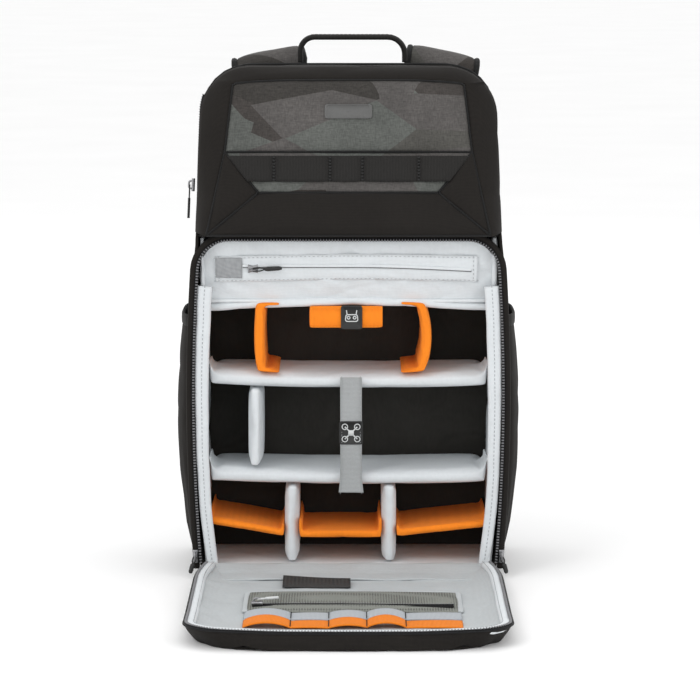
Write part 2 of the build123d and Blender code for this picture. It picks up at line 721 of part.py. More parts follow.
# Fabric hinge between the bag's lip and the door
strip_half_width = opening_half_width - 3
strip_start_y, strip_end_y = hinge_y - 0.6, hinge_y - door_start + 0.1
strip_low_z, strip_high_z, strip_foot_z = floor_z - 2.8, floor_z, 1
strip_bend_y = hinge_y - 3
with BuildPart() as door_hinge_strip:
    with BuildSketch(Plane.YZ.offset(-strip_half_width)):
        Polygon((strip_start_y, strip_low_z), (strip_start_y, strip_high_z),
                (strip_bend_y, strip_high_z), (strip_end_y, door_panel_thickness + door_liner_thickness),
                (strip_end_y, strip_foot_z), align=None)
    extrude(amount=2 * strip_half_width)
save(door_hinge_strip.part, "door_hinge_strip")

# Organizer on the door: mesh pocket with its zip, and two elastic bands sewn down at intervals
door_floor_z = door_panel_thickness + door_liner_thickness
organizer_x, organizer_width = 4, 190


def on_door(name, x, y, width, length, bottom_z, thickness):
    """A flat piece lying on the door."""
    with BuildPart() as piece:
        with Locations((x, y, bottom_z + thickness / 2)):
            Box(width, length, thickness)
    save(piece.part, name)


mesh_y, mesh_length, mesh_thickness = -225, 84, 3
mesh_zip_y, mesh_zip_width, mesh_zip_thickness = -251, 6, 1.4
mesh_zip_end = 6
mesh_slider_x, mesh_slider_length, mesh_slider_width, mesh_slider_thickness = -78, 16, 7, 2.6
band_length, grey_band_y, orange_band_y = 26, -286, -318
grey_band_thickness, orange_band_thickness = 3, 4
hook_x, hook_y, hook_width, hook_length, hook_thickness = -29, -158, 62, 22, 1.6
mesh_top_z = door_floor_z + mesh_thickness
mesh_slider_z = mesh_top_z + mesh_zip_thickness + running_gap
on_door("mesh_pocket", organizer_x, mesh_y, organizer_width, mesh_length, door_floor_z, mesh_thickness)
on_door("mesh_pocket_zip", organizer_x, mesh_zip_y, organizer_width - 2 * mesh_zip_end, mesh_zip_width,
        mesh_top_z, mesh_zip_thickness)
on_door("mesh_pocket_slider", mesh_slider_x, mesh_zip_y, mesh_slider_length, mesh_slider_width,
        mesh_slider_z, mesh_slider_thickness)
on_door("elastic_band_grey", organizer_x, grey_band_y, organizer_width, band_length, door_floor_z,
        grey_band_thickness)
on_door("elastic_band_orange", organizer_x, orange_band_y, organizer_width, band_length, door_floor_z,
        orange_band_thickness)
on_door("hook_strip", hook_x, hook_y, hook_width, hook_length, door_floor_z, hook_thickness)
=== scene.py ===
import math
import bmesh
import bpy
import numpy as np
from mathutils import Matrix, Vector


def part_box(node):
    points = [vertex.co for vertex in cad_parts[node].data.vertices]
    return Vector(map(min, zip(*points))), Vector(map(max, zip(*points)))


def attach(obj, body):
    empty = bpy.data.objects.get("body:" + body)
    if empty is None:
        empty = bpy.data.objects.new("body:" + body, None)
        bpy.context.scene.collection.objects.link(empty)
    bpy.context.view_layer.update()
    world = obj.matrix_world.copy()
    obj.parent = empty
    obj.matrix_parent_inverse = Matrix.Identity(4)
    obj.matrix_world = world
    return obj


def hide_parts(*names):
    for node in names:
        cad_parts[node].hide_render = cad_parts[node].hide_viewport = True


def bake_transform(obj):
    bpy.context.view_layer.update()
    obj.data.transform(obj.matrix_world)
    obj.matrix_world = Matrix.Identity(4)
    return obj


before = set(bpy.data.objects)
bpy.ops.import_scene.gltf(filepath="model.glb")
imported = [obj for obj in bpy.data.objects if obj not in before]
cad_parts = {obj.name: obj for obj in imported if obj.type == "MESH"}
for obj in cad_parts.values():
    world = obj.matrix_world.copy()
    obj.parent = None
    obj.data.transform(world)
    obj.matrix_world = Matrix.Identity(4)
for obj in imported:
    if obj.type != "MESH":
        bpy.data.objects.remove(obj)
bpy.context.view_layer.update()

X, Y, Z = np.eye(3)


# ---------------------------------------------------------------- paths and meshes
def unit(v):
    return v / np.linalg.norm(v)


def evenly(points, step):
    """The same polyline with points a step apart."""
    points = np.array(points, float)
    lengths = np.r_[0, np.cumsum(np.linalg.norm(np.diff(points, axis=0), axis=1))]
    count = max(2, round(lengths[-1] / step) + 1)
    at = np.linspace(0, lengths[-1], count)
    return np.stack([np.interp(at, lengths, axis) for axis in points.T], axis=1)


def rounded(points, radii, step=0.004, closed=False):
    """A path through corner points, each corner an arc of its radius."""
    points = [np.array(p, float) for p in points]
    line = []
    for i, corner in enumerate(points):
        at_end = not closed and i in (0, len(points) - 1)
        if at_end or not radii[i]:
            line.append(corner)
            continue
        before = unit(points[i - 1] - corner)
        after = unit(points[(i + 1) % len(points)] - corner)
        half = math.acos(np.clip(before @ after, -1, 1)) / 2
        centre = corner + unit(before + after) * radii[i] / math.sin(half)
        first = corner + before * radii[i] / math.tan(half) - centre
        last = corner + after * radii[i] / math.tan(half) - centre
        turn = math.pi - 2 * half
        for t in np.linspace(0, 1, 9):
            line.append(centre + (math.sin((1 - t) * turn) * first + math.sin(t * turn) * last)
                        / math.sin(turn))
    if closed:
        line.append(line[0])
    path = evenly(line, step)
    return path[:-1] if closed else path


def in_space(path, axes, level):
    """A flat path put in space: axes names its two coordinates, level is the third."""
    space = np.zeros((len(path), 3))
    first, second = ("xyz".index(a) for a in axes)
    space[:, first], space[:, second] = path[:, 0], path[:, 1]
    space[:, 3 - first - second] = level
    return space


def tangents(path, closed=False):
    if closed:
        along = np.roll(path, -1, axis=0) - np.roll(path, 1, axis=0)
    else:
        along = np.gradient(path, axis=0)
    return along / np.linalg.norm(along, axis=1, keepdims=True)


def oval(width, height, count=16, power=2.6):
    """A rounded section, width across and height along the up direction."""
    angle = np.linspace(0, 2 * math.pi, count, endpoint=False)
    c, s = np.cos(angle), np.sin(angle)
    return np.stack([np.sign(c) * abs(c) ** (2 / power) * width / 2,
                     np.sign(s) * abs(s) ** (2 / power) * height / 2], axis=1)


def tube(path, section, up, closed=False):
    """A section swept along a path: a list of vertices and a list of faces."""
    path = np.array(path, float)
    along = tangents(path, closed)
    up = np.broadcast_to(np.array(up, float), path.shape)
    side = np.cross(along, up)
    side = side / np.linalg.norm(side, axis=1, keepdims=True)
    rise = np.cross(side, along)
    sections = np.broadcast_to(section, (len(path),) + np.array(section).shape[-2:])
    points = (path[:, None] + side[:, None] * sections[..., :1] + rise[:, None] * sections[..., 1:])
    verts, faces = lattice(points, closed, True)
    if not closed:
        ring = points.shape[1]
        faces += [tuple(range(ring)), tuple(range(len(verts) - 1, len(verts) - ring - 1, -1))]
    return verts, faces


def lattice(points, closed_rows=False, closed_columns=False):
    """Faces over a grid of points."""
    rows, columns = points.shape[:2]
    index = np.arange(rows * columns).reshape(rows, columns)
    if closed_rows:
        index = np.vstack([index, index[:1]])
    if closed_columns:
        index = np.hstack([index, index[:, :1]])
    faces = np.stack([index[:-1, :-1], index[:-1, 1:], index[1:, 1:], index[1:, :-1]], axis=-1)
    return points.reshape(-1, 3), [tuple(f) for f in faces.reshape(-1, 4).tolist()]


def boxes(centres, along, side, size):
    """Many small blocks: centres and their two directions are arrays, size is along, side, up."""
    centres, along, side = (np.array(a, float) for a in (centres, along, side))
    up = np.cross(along, side)
    corners = np.array([(a, b, c) for a in (-1, 1) for b in (-1, 1) for c in (-1, 1)]) / 2
    faces = [(0, 1, 3, 2), (4, 6, 7, 5), (0, 4, 5, 1), (2, 3, 7, 6), (0, 2, 6, 4), (1, 5, 7, 3)]
    verts = (centres[:, None]
             + along[:, None] * corners[:, :1] * size[0]
             + side[:, None] * corners[:, 1:2] * size[1]
             + up[:, None] * corners[:, 2:] * size[2]).reshape(-1, 3)
    return verts, [tuple(8 * i + v for v in f) for i in range(len(centres)) for f in faces]


def joined(*parts):
    """Several vertex and face lists as one."""
    verts, faces = [], []
    for part_verts, part_faces in parts:
        start = len(verts)
        verts += [tuple(v) for v in part_verts]
        faces += [tuple(start + i for i in face) for face in part_faces]
    return verts, faces


def piece(name, part, material, body="bag", nodes=(), smooth=True):
    """A mesh object that rides on a body and stands for CAD nodes."""
    mesh = bpy.data.meshes.new(name)
    mesh.from_pydata([tuple(v) for v in part[0]], [], part[1])
    mesh.validate()
    obj = bpy.data.objects.new(name, mesh)
    bpy.context.collection.objects.link(obj)
    for one in material if isinstance(material, (list, tuple)) else [material]:
        mesh.materials.append(one)
    mesh.polygons.foreach_set("use_smooth", [smooth] * len(mesh.polygons))
    tidy_normals(mesh)
    if body:
        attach(obj, body)
    if nodes:
        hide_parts(*nodes)
    return obj


def tidy_normals(mesh):
    shape = bmesh.new()
    shape.from_mesh(mesh)
    bmesh.ops.recalc_face_normals(shape, faces=shape.faces)
    shape.to_mesh(mesh)
    shape.free()


def modified(obj, kind, **settings):
    """Adds a modifier and applies it."""
    modifier = obj.modifiers.new(kind, kind)
    for key, value in settings.items():
        setattr(modifier, key, value)
    graph = bpy.context.evaluated_depsgraph_get()
    graph.update()
    mesh = bpy.data.meshes.new_from_object(obj.evaluated_get(graph))
    materials = list(obj.data.materials)
    obj.modifiers.remove(modifier)
    obj.data = mesh
    obj.data.materials.clear()
    for one in materials:
        obj.data.materials.append(one)
    obj.data.polygons.foreach_set("use_smooth", [True] * len(obj.data.polygons))
    return obj


def cad_copy(node, material, body="bag", name=None):
    """A new object with a copy of a CAD node's mesh, standing for it."""
    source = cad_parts[node]
    mesh = source.data.copy()
    mesh.materials.clear()
    mesh.materials.append(material)
    obj = bpy.data.objects.new(name or f"{node}_soft", mesh)
    bpy.context.collection.objects.link(obj)
    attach(obj, body)
    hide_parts(node)
    return obj


def vertices(obj):
    co = np.zeros(len(obj.data.vertices) * 3)
    obj.data.vertices.foreach_get("co", co)
    return co.reshape(-1, 3)


def normals(obj):
    out = np.zeros(len(obj.data.vertices) * 3)
    obj.data.vertices.foreach_get("normal", out)
    return out.reshape(-1, 3)


def move_vertices(obj, co):
    obj.data.vertices.foreach_set("co", np.ascontiguousarray(co, float).ravel())
    obj.data.update()


def lumps(points, size, seed=0):
    """Smooth noise from 0 to 1 at the points, with features of the given size."""
    place = np.array(points, float) / np.array(size) + seed * 7.31
    cell = np.floor(place)
    part = place - cell
    part = part * part * (3 - 2 * part)
    total = np.zeros(len(place))
    for corner in np.ndindex(2, 2, 2):
        key = (cell + corner) @ np.array([127.1, 311.7, 74.7])
        value = np.abs(np.sin(key) * 43758.5453) % 1
        weight = np.prod(np.where(np.array(corner) == 1, part, 1 - part), axis=1)
        total += value * weight
    return total


def wrinkle(obj, depth, size, seed=0, sharp=2.0):
    """Pushes a cloth surface in along creases, and out between them."""
    co = vertices(obj)
    soft = lumps(co, size, seed) + 0.5 * lumps(co, np.array(size) * 0.47, seed + 3)
    crease = 1 - np.abs(2 * lumps(co + 0.4 * np.array(size) * soft[:, None], size, seed + 5) - 1)
    move = (soft / 1.5 - 0.5) - crease ** (2 * sharp)
    move_vertices(obj, co + normals(obj) * (move * depth)[:, None])
    return obj


# ---------------------------------------------------------------- materials
class Nodes:
    """A material's node tree, with a short way to add and link nodes."""

    def __init__(self, name):
        self.material = bpy.data.materials.new(name)
        self.material.use_nodes = True
        self.tree = self.material.node_tree
        self.shader = self.tree.nodes["Principled BSDF"]

    def add(self, kind, inputs=None, **settings):
        node = self.tree.nodes.new(kind)
        for key, value in settings.items():
            setattr(node, key, value)
        for key, value in (inputs or {}).items():
            if isinstance(value, bpy.types.NodeSocket):
                self.tree.links.new(value, node.inputs[key])
            else:
                node.inputs[key].default_value = value
        return node

    def math(self, operation, a, b=0.0, c=0.0):
        return self.add("ShaderNodeMath", {0: a, 1: b, 2: c}, operation=operation).outputs[0]

    def mix(self, factor, a, b):
        node = self.add("ShaderNodeMix", data_type="RGBA")
        for socket, value in ((node.inputs[0], factor), (node.inputs[6], a), (node.inputs[7], b)):
            if isinstance(value, bpy.types.NodeSocket):
                self.tree.links.new(value, socket)
            elif socket is node.inputs[0]:
                socket.default_value = value
            else:
                socket.default_value = (*value, 1)
        return node.outputs[2]

    def ramp(self, factor, stops, interpolation="LINEAR"):
        node = self.add("ShaderNodeValToRGB", {0: factor})
        node.color_ramp.interpolation = interpolation
        while len(node.color_ramp.elements) < len(stops):
            node.color_ramp.elements.new(0.5)
        for element, (place, colour) in zip(node.color_ramp.elements, stops):
            element.position = place
            element.color = (*colour, 1)
        return node.outputs[0]

    def place(self, scale=(1, 1, 1), turn=(0, 0, 0)):
        coordinates = self.add("ShaderNodeTexCoord").outputs["Object"]
        return self.add("ShaderNodeMapping", {"Vector": coordinates, "Scale": scale, "Rotation": turn},
                        ).outputs[0]

    def noise(self, scale, detail=2.0, where=None):
        return self.add("ShaderNodeTexNoise", {"Vector": where or self.place(), "Scale": scale,
                                               "Detail": detail}).outputs["Fac"]

    def wave(self, pitch, direction, where=None):
        """Ribs with the given pitch in metres, from 0 to 1."""
        return self.add("ShaderNodeTexWave", {"Vector": where or self.place(),
                                              "Scale": math.pi / 10 / pitch,
                                              "Distortion": 0.0},
                        wave_type="BANDS", bands_direction=direction).outputs["Fac"]

    def bump(self, height, strength, distance, below=None):
        inputs = {"Height": height, "Strength": strength, "Distance": distance}
        if below is not None:
            inputs["Normal"] = below
        return self.add("ShaderNodeBump", inputs).outputs[0]

    def link(self, value, socket):
        self.tree.links.new(value, self.shader.inputs[socket])


def shade(colour, amount):
    return tuple(min(1.0, c * amount) for c in colour)


def cloth(name, colour, pitch=0.0011, roughness=0.88, sheen=0.25, contrast=0.28, wrinkles=0.0,
          wrinkle_size=0.03, wear=0.25, weave_depth=0.00025, specular=0.2):
    """Woven fabric: crossed threads, uneven dye, soft creases, and paler worn edges."""
    n = Nodes(name)
    threads = [n.wave(pitch, axis) for axis in "XYZ"]
    weave = n.math("MULTIPLY_ADD", n.math("MULTIPLY", threads[0], threads[2]), 0.6,
                   n.math("MULTIPLY", n.math("ADD", threads[1], threads[0]), 0.3))
    slub = n.noise(420, 3.0, n.place((1, 1, 0.35)))
    mottle = n.noise(16, 4.0)
    tone = n.math("MULTIPLY_ADD", weave, 0.35, n.math("MULTIPLY_ADD", slub, 0.45,
                                                     n.math("MULTIPLY", mottle, 0.45)))
    body = n.ramp(tone, [(0.25, shade(colour, 1 - contrast)), (0.85, shade(colour, 1 + contrast))])
    edge = n.ramp(n.add("ShaderNodeNewGeometry").outputs["Pointiness"],
                  [(0.52, (0, 0, 0)), (0.60, (1, 1, 1))])
    worn = n.mix(n.math("MULTIPLY", edge, wear), body, shade(colour, 1.5))
    n.tree.links.new(worn, n.shader.inputs["Base Color"])
    n.link(n.math("MULTIPLY_ADD", slub, 0.14, roughness - 0.07), "Roughness")
    height = n.bump(weave, 0.5, weave_depth)
    height = n.bump(slub, 0.25, 0.0003, height)
    if wrinkles:
        fold = n.noise(1 / wrinkle_size, 3.0, n.place((1, 1, 1.4)))
        height = n.bump(fold, 0.9, wrinkles, height)
    n.link(height, "Normal")
    n.shader.inputs["Sheen Weight"].default_value = sheen
    n.shader.inputs["Sheen Roughness"].default_value = 0.5
    n.shader.inputs["Specular IOR Level"].default_value = specular
    return n.material


def printed_cloth(name, greys):
    """Nylon with a faceted print of flat grey shards under a heathered weave."""
    n = Nodes(name)
    shards = []
    for scale, turn, stretch in ((13, 0.7, (1.0, 1.0, 1.9)), (17, -0.8, (0.7, 1.0, 1.8))):
        where = n.place(stretch, (0.3, turn, 0.2))
        cells = n.add("ShaderNodeTexVoronoi", {"Vector": where, "Scale": scale, "Randomness": 1.0},
                      feature="F1", distance="EUCLIDEAN")
        shards.append(n.add("ShaderNodeSeparateColor", {0: cells.outputs["Color"]}).outputs[0])
    stops = [(i / len(greys), grey) for i, grey in enumerate(greys)]
    large = n.ramp(shards[0], stops, "CONSTANT")
    small = n.ramp(shards[1], stops, "CONSTANT")
    print_colour = n.mix(n.ramp(shards[1], [(0.0, (0, 0, 0)), (0.62, (1, 1, 1))], "CONSTANT"),
                         large, small)
    fade = n.math("MULTIPLY_ADD", n.noise(22, 3.0), 0.7, 0.65)
    heather = n.noise(900, 2.0, n.place((1, 1, 0.22)))
    cross = n.noise(900, 2.0, n.place((0.22, 0.22, 1)))
    tone = n.math("MULTIPLY", fade, n.math("MULTIPLY_ADD", n.math("ADD", heather, cross), 0.8, 0.2))
    value = n.add("ShaderNodeHueSaturation", {"Color": print_colour, "Value": tone}).outputs[0]
    n.tree.links.new(value, n.shader.inputs["Base Color"])
    n.shader.inputs["Roughness"].default_value = 0.82
    n.link(n.bump(cross, 0.35, 0.0003, n.bump(heather, 0.35, 0.0003)), "Normal")
    n.shader.inputs["Sheen Weight"].default_value = 0.03
    n.shader.inputs["Specular IOR Level"].default_value = 0.2
    return n.material


def webbing(name, colour, rib="Z", pitch=0.0016, contrast=0.4):
    """Flat webbing with ribs across its length."""
    n = Nodes(name)
    ribs = n.wave(pitch, rib)
    fuzz = n.noise(700, 2.0)
    tone = n.math("MULTIPLY_ADD", ribs, 0.5, n.math("MULTIPLY", fuzz, 0.5))
    stops = [(0.1, shade(colour, 1 - contrast)), (0.9, shade(colour, 1 + contrast))]
    n.tree.links.new(n.ramp(tone, stops), n.shader.inputs["Base Color"])
    n.shader.inputs["Roughness"].default_value = 0.75
    n.shader.inputs["Sheen Weight"].default_value = 0.03
    n.shader.inputs["Specular IOR Level"].default_value = 0.2
    n.link(n.bump(fuzz, 0.2, 0.0003, n.bump(ribs, 0.7, 0.0005)), "Normal")
    return n.material


def netting(name, colour, hole, pitch):
    """Knitted mesh: rows of small round holes, darker than the threads."""
    n = Nodes(name)
    cells = n.add("ShaderNodeTexVoronoi", {"Vector": n.place(), "Scale": 1 / pitch, "Randomness": 0.12})
    holes = n.ramp(cells.outputs["Distance"], [(0.30, hole), (0.42, colour)])
    tint = n.mix(n.math("MULTIPLY", n.noise(30, 3.0), 0.35), holes, shade(colour, 0.6))
    n.tree.links.new(tint, n.shader.inputs["Base Color"])
    n.shader.inputs["Roughness"].default_value = 0.8
    n.link(n.bump(cells.outputs["Distance"], 0.8, 0.0008), "Normal")
    return n.material


def plain(name, colour, roughness, metallic=0.0, grain=500, depth=0.0001, variation=0.15):
    """Moulded plastic, rubber or metal with a fine grain and uneven gloss."""
    n = Nodes(name)
    fine = n.noise(grain, 3.0)
    broad = n.noise(60, 3.0)
    tone = n.math("MULTIPLY_ADD", fine, 0.4, n.math("MULTIPLY", broad, 0.6))
    n.tree.links.new(n.ramp(tone, [(0.2, shade(colour, 1 - variation)),
                                   (0.8, shade(colour, 1 + variation))]),
                     n.shader.inputs["Base Color"])
    n.link(n.math("MULTIPLY_ADD", broad, 0.25, roughness - 0.12), "Roughness")
    n.shader.inputs["Metallic"].default_value = metallic
    n.link(n.bump(fine, 0.3, depth), "Normal")
    return n.material


shell_cloth = cloth("shell_nylon", (0.0135, 0.0118, 0.0105), sheen=0.03, wrinkles=0.0012,
                    wrinkle_size=0.05, contrast=0.3, specular=0.15)
binding_black = webbing("black_binding", (0.012, 0.012, 0.012), "Z", 0.0012)
print_cloth = printed_cloth("printed_nylon", [(0.034, 0.030, 0.027), (0.068, 0.066, 0.060),
                                              (0.046, 0.041, 0.038), (0.092, 0.097, 0.090),
                                              (0.038, 0.035, 0.032), (0.078, 0.073, 0.070)])
liner_cloth = cloth("liner_brushed", (0.66, 0.69, 0.71), sheen=0.03, contrast=0.06, wrinkles=0.0022,
                    wrinkle_size=0.022, wear=0.1, weave_depth=0.0001)
door_cloth = cloth("door_lining", (0.46, 0.485, 0.495), sheen=0.03, contrast=0.07, wrinkles=0.0028,
                   wrinkle_size=0.03, wear=0.1, weave_depth=0.0001)
dark_cloth = cloth("rear_lining", (0.030, 0.028, 0.025), sheen=0.04, contrast=0.3, wrinkles=0.003,
                   wrinkle_size=0.04)
orange_cloth = cloth("orange_nylon", (0.88, 0.235, 0.016), sheen=0.03, contrast=0.12, wrinkles=0.0012,
                     wrinkle_size=0.02, wear=0.15)
orange_elastic = webbing("orange_elastic", (0.88, 0.235, 0.016), "X", 0.0011, 0.12)
grey_elastic = webbing("grey_elastic", (0.47, 0.50, 0.53), "X", 0.0011, 0.12)
grey_webbing = webbing("grey_webbing", (0.40, 0.415, 0.42), "Z", 0.0012, 0.15)
black_webbing = webbing("black_webbing", (0.018, 0.017, 0.016), "X", 0.0014)
zip_black = webbing("zip_tape", (0.012, 0.012, 0.013), "Z", 0.001)
tooth_metal = plain("zip_teeth", (0.22, 0.22, 0.23), 0.42, 0.5)
slider_metal = plain("slider_metal", (0.30, 0.30, 0.31), 0.32, 0.9)
black_rubber = plain("black_rubber", (0.013, 0.013, 0.013), 0.55)
buckle_plastic = plain("buckle_plastic", (0.018, 0.018, 0.018), 0.42)
badge_rubber = plain("badge_rubber", (0.012, 0.012, 0.012), 0.5)
badge_ink = plain("badge_relief", (0.62, 0.64, 0.64), 0.5)
patch_rubber = plain("plain_patch", (0.10, 0.10, 0.098), 0.6)
silver_cloth = cloth("silver_coated", (0.30, 0.31, 0.32), roughness=0.5, sheen=0.0, wrinkles=0.001,
                     wrinkle_size=0.01)
olive_mesh = netting("olive_mesh", (0.23, 0.24, 0.215), (0.05, 0.05, 0.045), 0.0024)
air_mesh = netting("air_mesh", (0.035, 0.034, 0.033), (0.006, 0.006, 0.006), 0.0035)
stitch_thread = plain("grey_thread", (0.36, 0.38, 0.39), 0.8)
zip_grey = webbing("grey_zip_line", (0.16, 0.165, 0.17), "X", 0.0011)
dark_thread = plain("dark_thread", (0.010, 0.010, 0.010), 0.8)


# ---------------------------------------------------------------- camera, light and floor
camera_lens, camera_tilt = 167.7, 7.75
camera_x, camera_distance, camera_height = 0.0015, 3.0, 0.623


def camera_and_light():
    rim_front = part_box("main_zip_body")[0].y
    camera = bpy.data.cameras.new("camera")
    camera.lens = camera_lens
    camera.sensor_width = 36
    camera.clip_end = 200
    eye = bpy.data.objects.new("camera", camera)
    eye.location = (camera_x, rim_front - camera_distance, camera_height)
    eye.rotation_euler = (math.radians(90 - camera_tilt), 0, 0)
    bpy.context.collection.objects.link(eye)
    bpy.context.scene.camera = eye

    floor = bpy.data.meshes.new("floor")
    reach = 60
    floor.from_pydata([(-reach, -reach, 0), (reach, -reach, 0), (reach, reach, 0),
                       (-reach, reach, 0)], [], [(0, 1, 2, 3)])
    n = Nodes("floor_paper")
    n.tree.links.new(n.ramp(n.noise(3, 2.0), [(0.3, (0.92, 0.92, 0.92)), (0.7, (0.94, 0.94, 0.94))]),
                     n.shader.inputs["Base Color"])
    n.shader.inputs["Roughness"].default_value = 0.9
    floor.materials.append(n.material)
    floor_object = bpy.data.objects.new("floor", floor)
    bpy.context.collection.objects.link(floor_object)

    for name, place, target, size, power in (
            ("key_light", (-1.5, -2.0, 2.4), (0, 0, 0.2), 1.0, 15),
            ("fill_light", (1.9, -2.2, 1.3), (0, 0, 0.2), 1.6, 5),
            ("front_light", (0.2, -3.2, 1.0), (0, 0, 0.2), 1.0, 5),
            ("top_light", (0, 0.3, 2.6), (0, 0, 0.2), 1.6, 6),
            ("back_light", (0.4, 2.6, 1.7), (0, 0, 0.25), 1.8, 8)):
        light = bpy.data.lights.new(name, "AREA")
        light.size = size
        light.energy = power
        lamp = bpy.data.objects.new(name, light)
        lamp.location = place
        aim = Vector(target) - Vector(place)
        lamp.rotation_euler = aim.to_track_quat("-Z", "Y").to_euler()
        bpy.context.collection.objects.link(lamp)

    world = bpy.data.worlds.new("studio")
    world.use_nodes = True
    world.node_tree.nodes["Background"].inputs[0].default_value = (1, 1, 1, 1)
    world.node_tree.nodes["Background"].inputs[1].default_value = 1.04
    bpy.context.scene.world = world
    bpy.context.scene.view_settings.view_transform = "Standard"


camera_and_light()

# ---------------------------------------------------------------- sizes shared by the pieces
bag_top = 0.476
rim_half, rim_high = 0.141, 0.320
rim_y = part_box("main_zip_body")[0].y
shell_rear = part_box("side_panel_left")[1].y
zip_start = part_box("main_zip_body")[0].z
outline_corners = [(-0.138, 0), (0.138, 0), (0.142, 0.050), (0.143, 0.300), (0.137, bag_top),
                   (-0.137, bag_top), (-0.143, 0.300), (-0.142, 0.050)]
outline_radii = [0.014, 0.014, 0.2, 0.5, 0.046, 0.046, 0.5, 0.2]
bag_outline = rounded(outline_corners, outline_radii, 0.006, closed=True)


def belly(z):
    """How far the sides of the bag swell out at a height."""
    return 0.006 * np.sin(math.pi * np.clip((np.array(z) - 0.012) / 0.300, 0, 1)) ** 0.9


def swell(path):
    """A path on the bag with its sides pushed out by the belly."""
    path = np.array(path, float)
    side = np.clip((np.abs(path[:, 0]) - 0.105) / 0.025, 0, 1) * np.sign(path[:, 0])
    path[:, 0] += side * belly(path[:, 2])
    return path


def rim_path(inset, start_z, step=0.003):
    """The open U of the zip line, from the left foot over the top to the right foot."""
    half, top = rim_half - inset, rim_high - inset
    corner = 0.030 - inset
    return rounded([(-half, start_z), (-half, top), (half, top), (half, start_z)],
                   [0, corner, corner, 0], step)


def stitches(path, up, length=0.0026, gap=0.0016, width=0.0005):
    """A row of thread stitches along a path, standing on the surface."""
    path = evenly(path, length + gap)
    along = tangents(path)
    side = np.cross(along, np.broadcast_to(np.array(up, float), path.shape))
    side = side / np.linalg.norm(side, axis=1, keepdims=True)
    return boxes(path, along, side, (length, width, width))


# ---------------------------------------------------------------- outer shell
def side_front(z):
    """Depth of the front edge of the shell's sides at a height."""
    return np.interp(z, [0, 0.3215, 0.3225, 0.361, 0.3975, 0.460, 0.476],
                     [rim_y + 0.001, rim_y + 0.001, -0.070, -0.058, -0.052, -0.036, -0.031])


def outer_shell():
    """One fabric skin round base, sides and top, from the opening back to the rear panel."""
    rim = in_space(bag_outline, "xz", 0)
    fronts = side_front(rim[:, 2])
    rows = []
    for t in np.linspace(0, 1, 26):
        row = swell(rim)
        row[:, 1] = fronts + (shell_rear - fronts) * t
        top = np.clip((rim[:, 2] - 0.44) / 0.036, 0, 1)
        row[:, 2] -= 0.0045 * top * t
        rows.append(row)
    skin = piece("shell_fabric_skin", lattice(np.array(rows), False, True), shell_cloth,
                 nodes=("side_panel_left", "side_panel_right", "top_panel", "base_panel"))
    outward(skin)
    wrinkle(skin, 0.0018, (0.06, 0.05, 0.08), seed=2)
    modified(skin, "SOLIDIFY", thickness=0.0025, offset=-1)
    board = cad_copy("back_board", shell_cloth)
    modified(board, "REMESH", mode="VOXEL", voxel_size=0.0030)
    modified(board, "SMOOTH", factor=0.5, iterations=2)
    wrinkle(board, 0.0008, (0.05, 0.05, 0.06), seed=9)
    rear = rows[-1][::2]
    piece("rear_piping", tube(rear, oval(0.0036, 0.0036, 10, 2), Y, closed=True), binding_black)


def facet(corners, crown, steps=(20, 12)):
    """A padded four-cornered panel between seams: corners run round it, crown lifts its middle."""
    a, b, c, d = (np.array(p, float) for p in corners)
    u = np.linspace(0, 1, steps[0])[:, None, None]
    v = np.linspace(0, 1, steps[1])[None, :, None]
    flat = (1 - v) * ((1 - u) * a + u * b) + v * ((1 - u) * d + u * c)
    face = unit(np.cross(b - a, d - a) + np.cross(d - c, b - c))
    lift = (np.minimum(1, 6 * u * (1 - u)) * np.minimum(1, 6 * v * (1 - v))) ** 0.6
    return flat + lift * crown * face


# Corners of the faceted upper front: half widths, depths and heights of its seams
top_seam = (0.107, -0.048, 0.460)
shoulder_seam = (0.1145, -0.060, 0.3975)
waist_seam = (0.083, -0.0725, 0.361)
hem_seam = (0.131, -0.088, 0.3225)


def mirrored(point, side):
    return np.array((point[0] * side, point[1], point[2]))


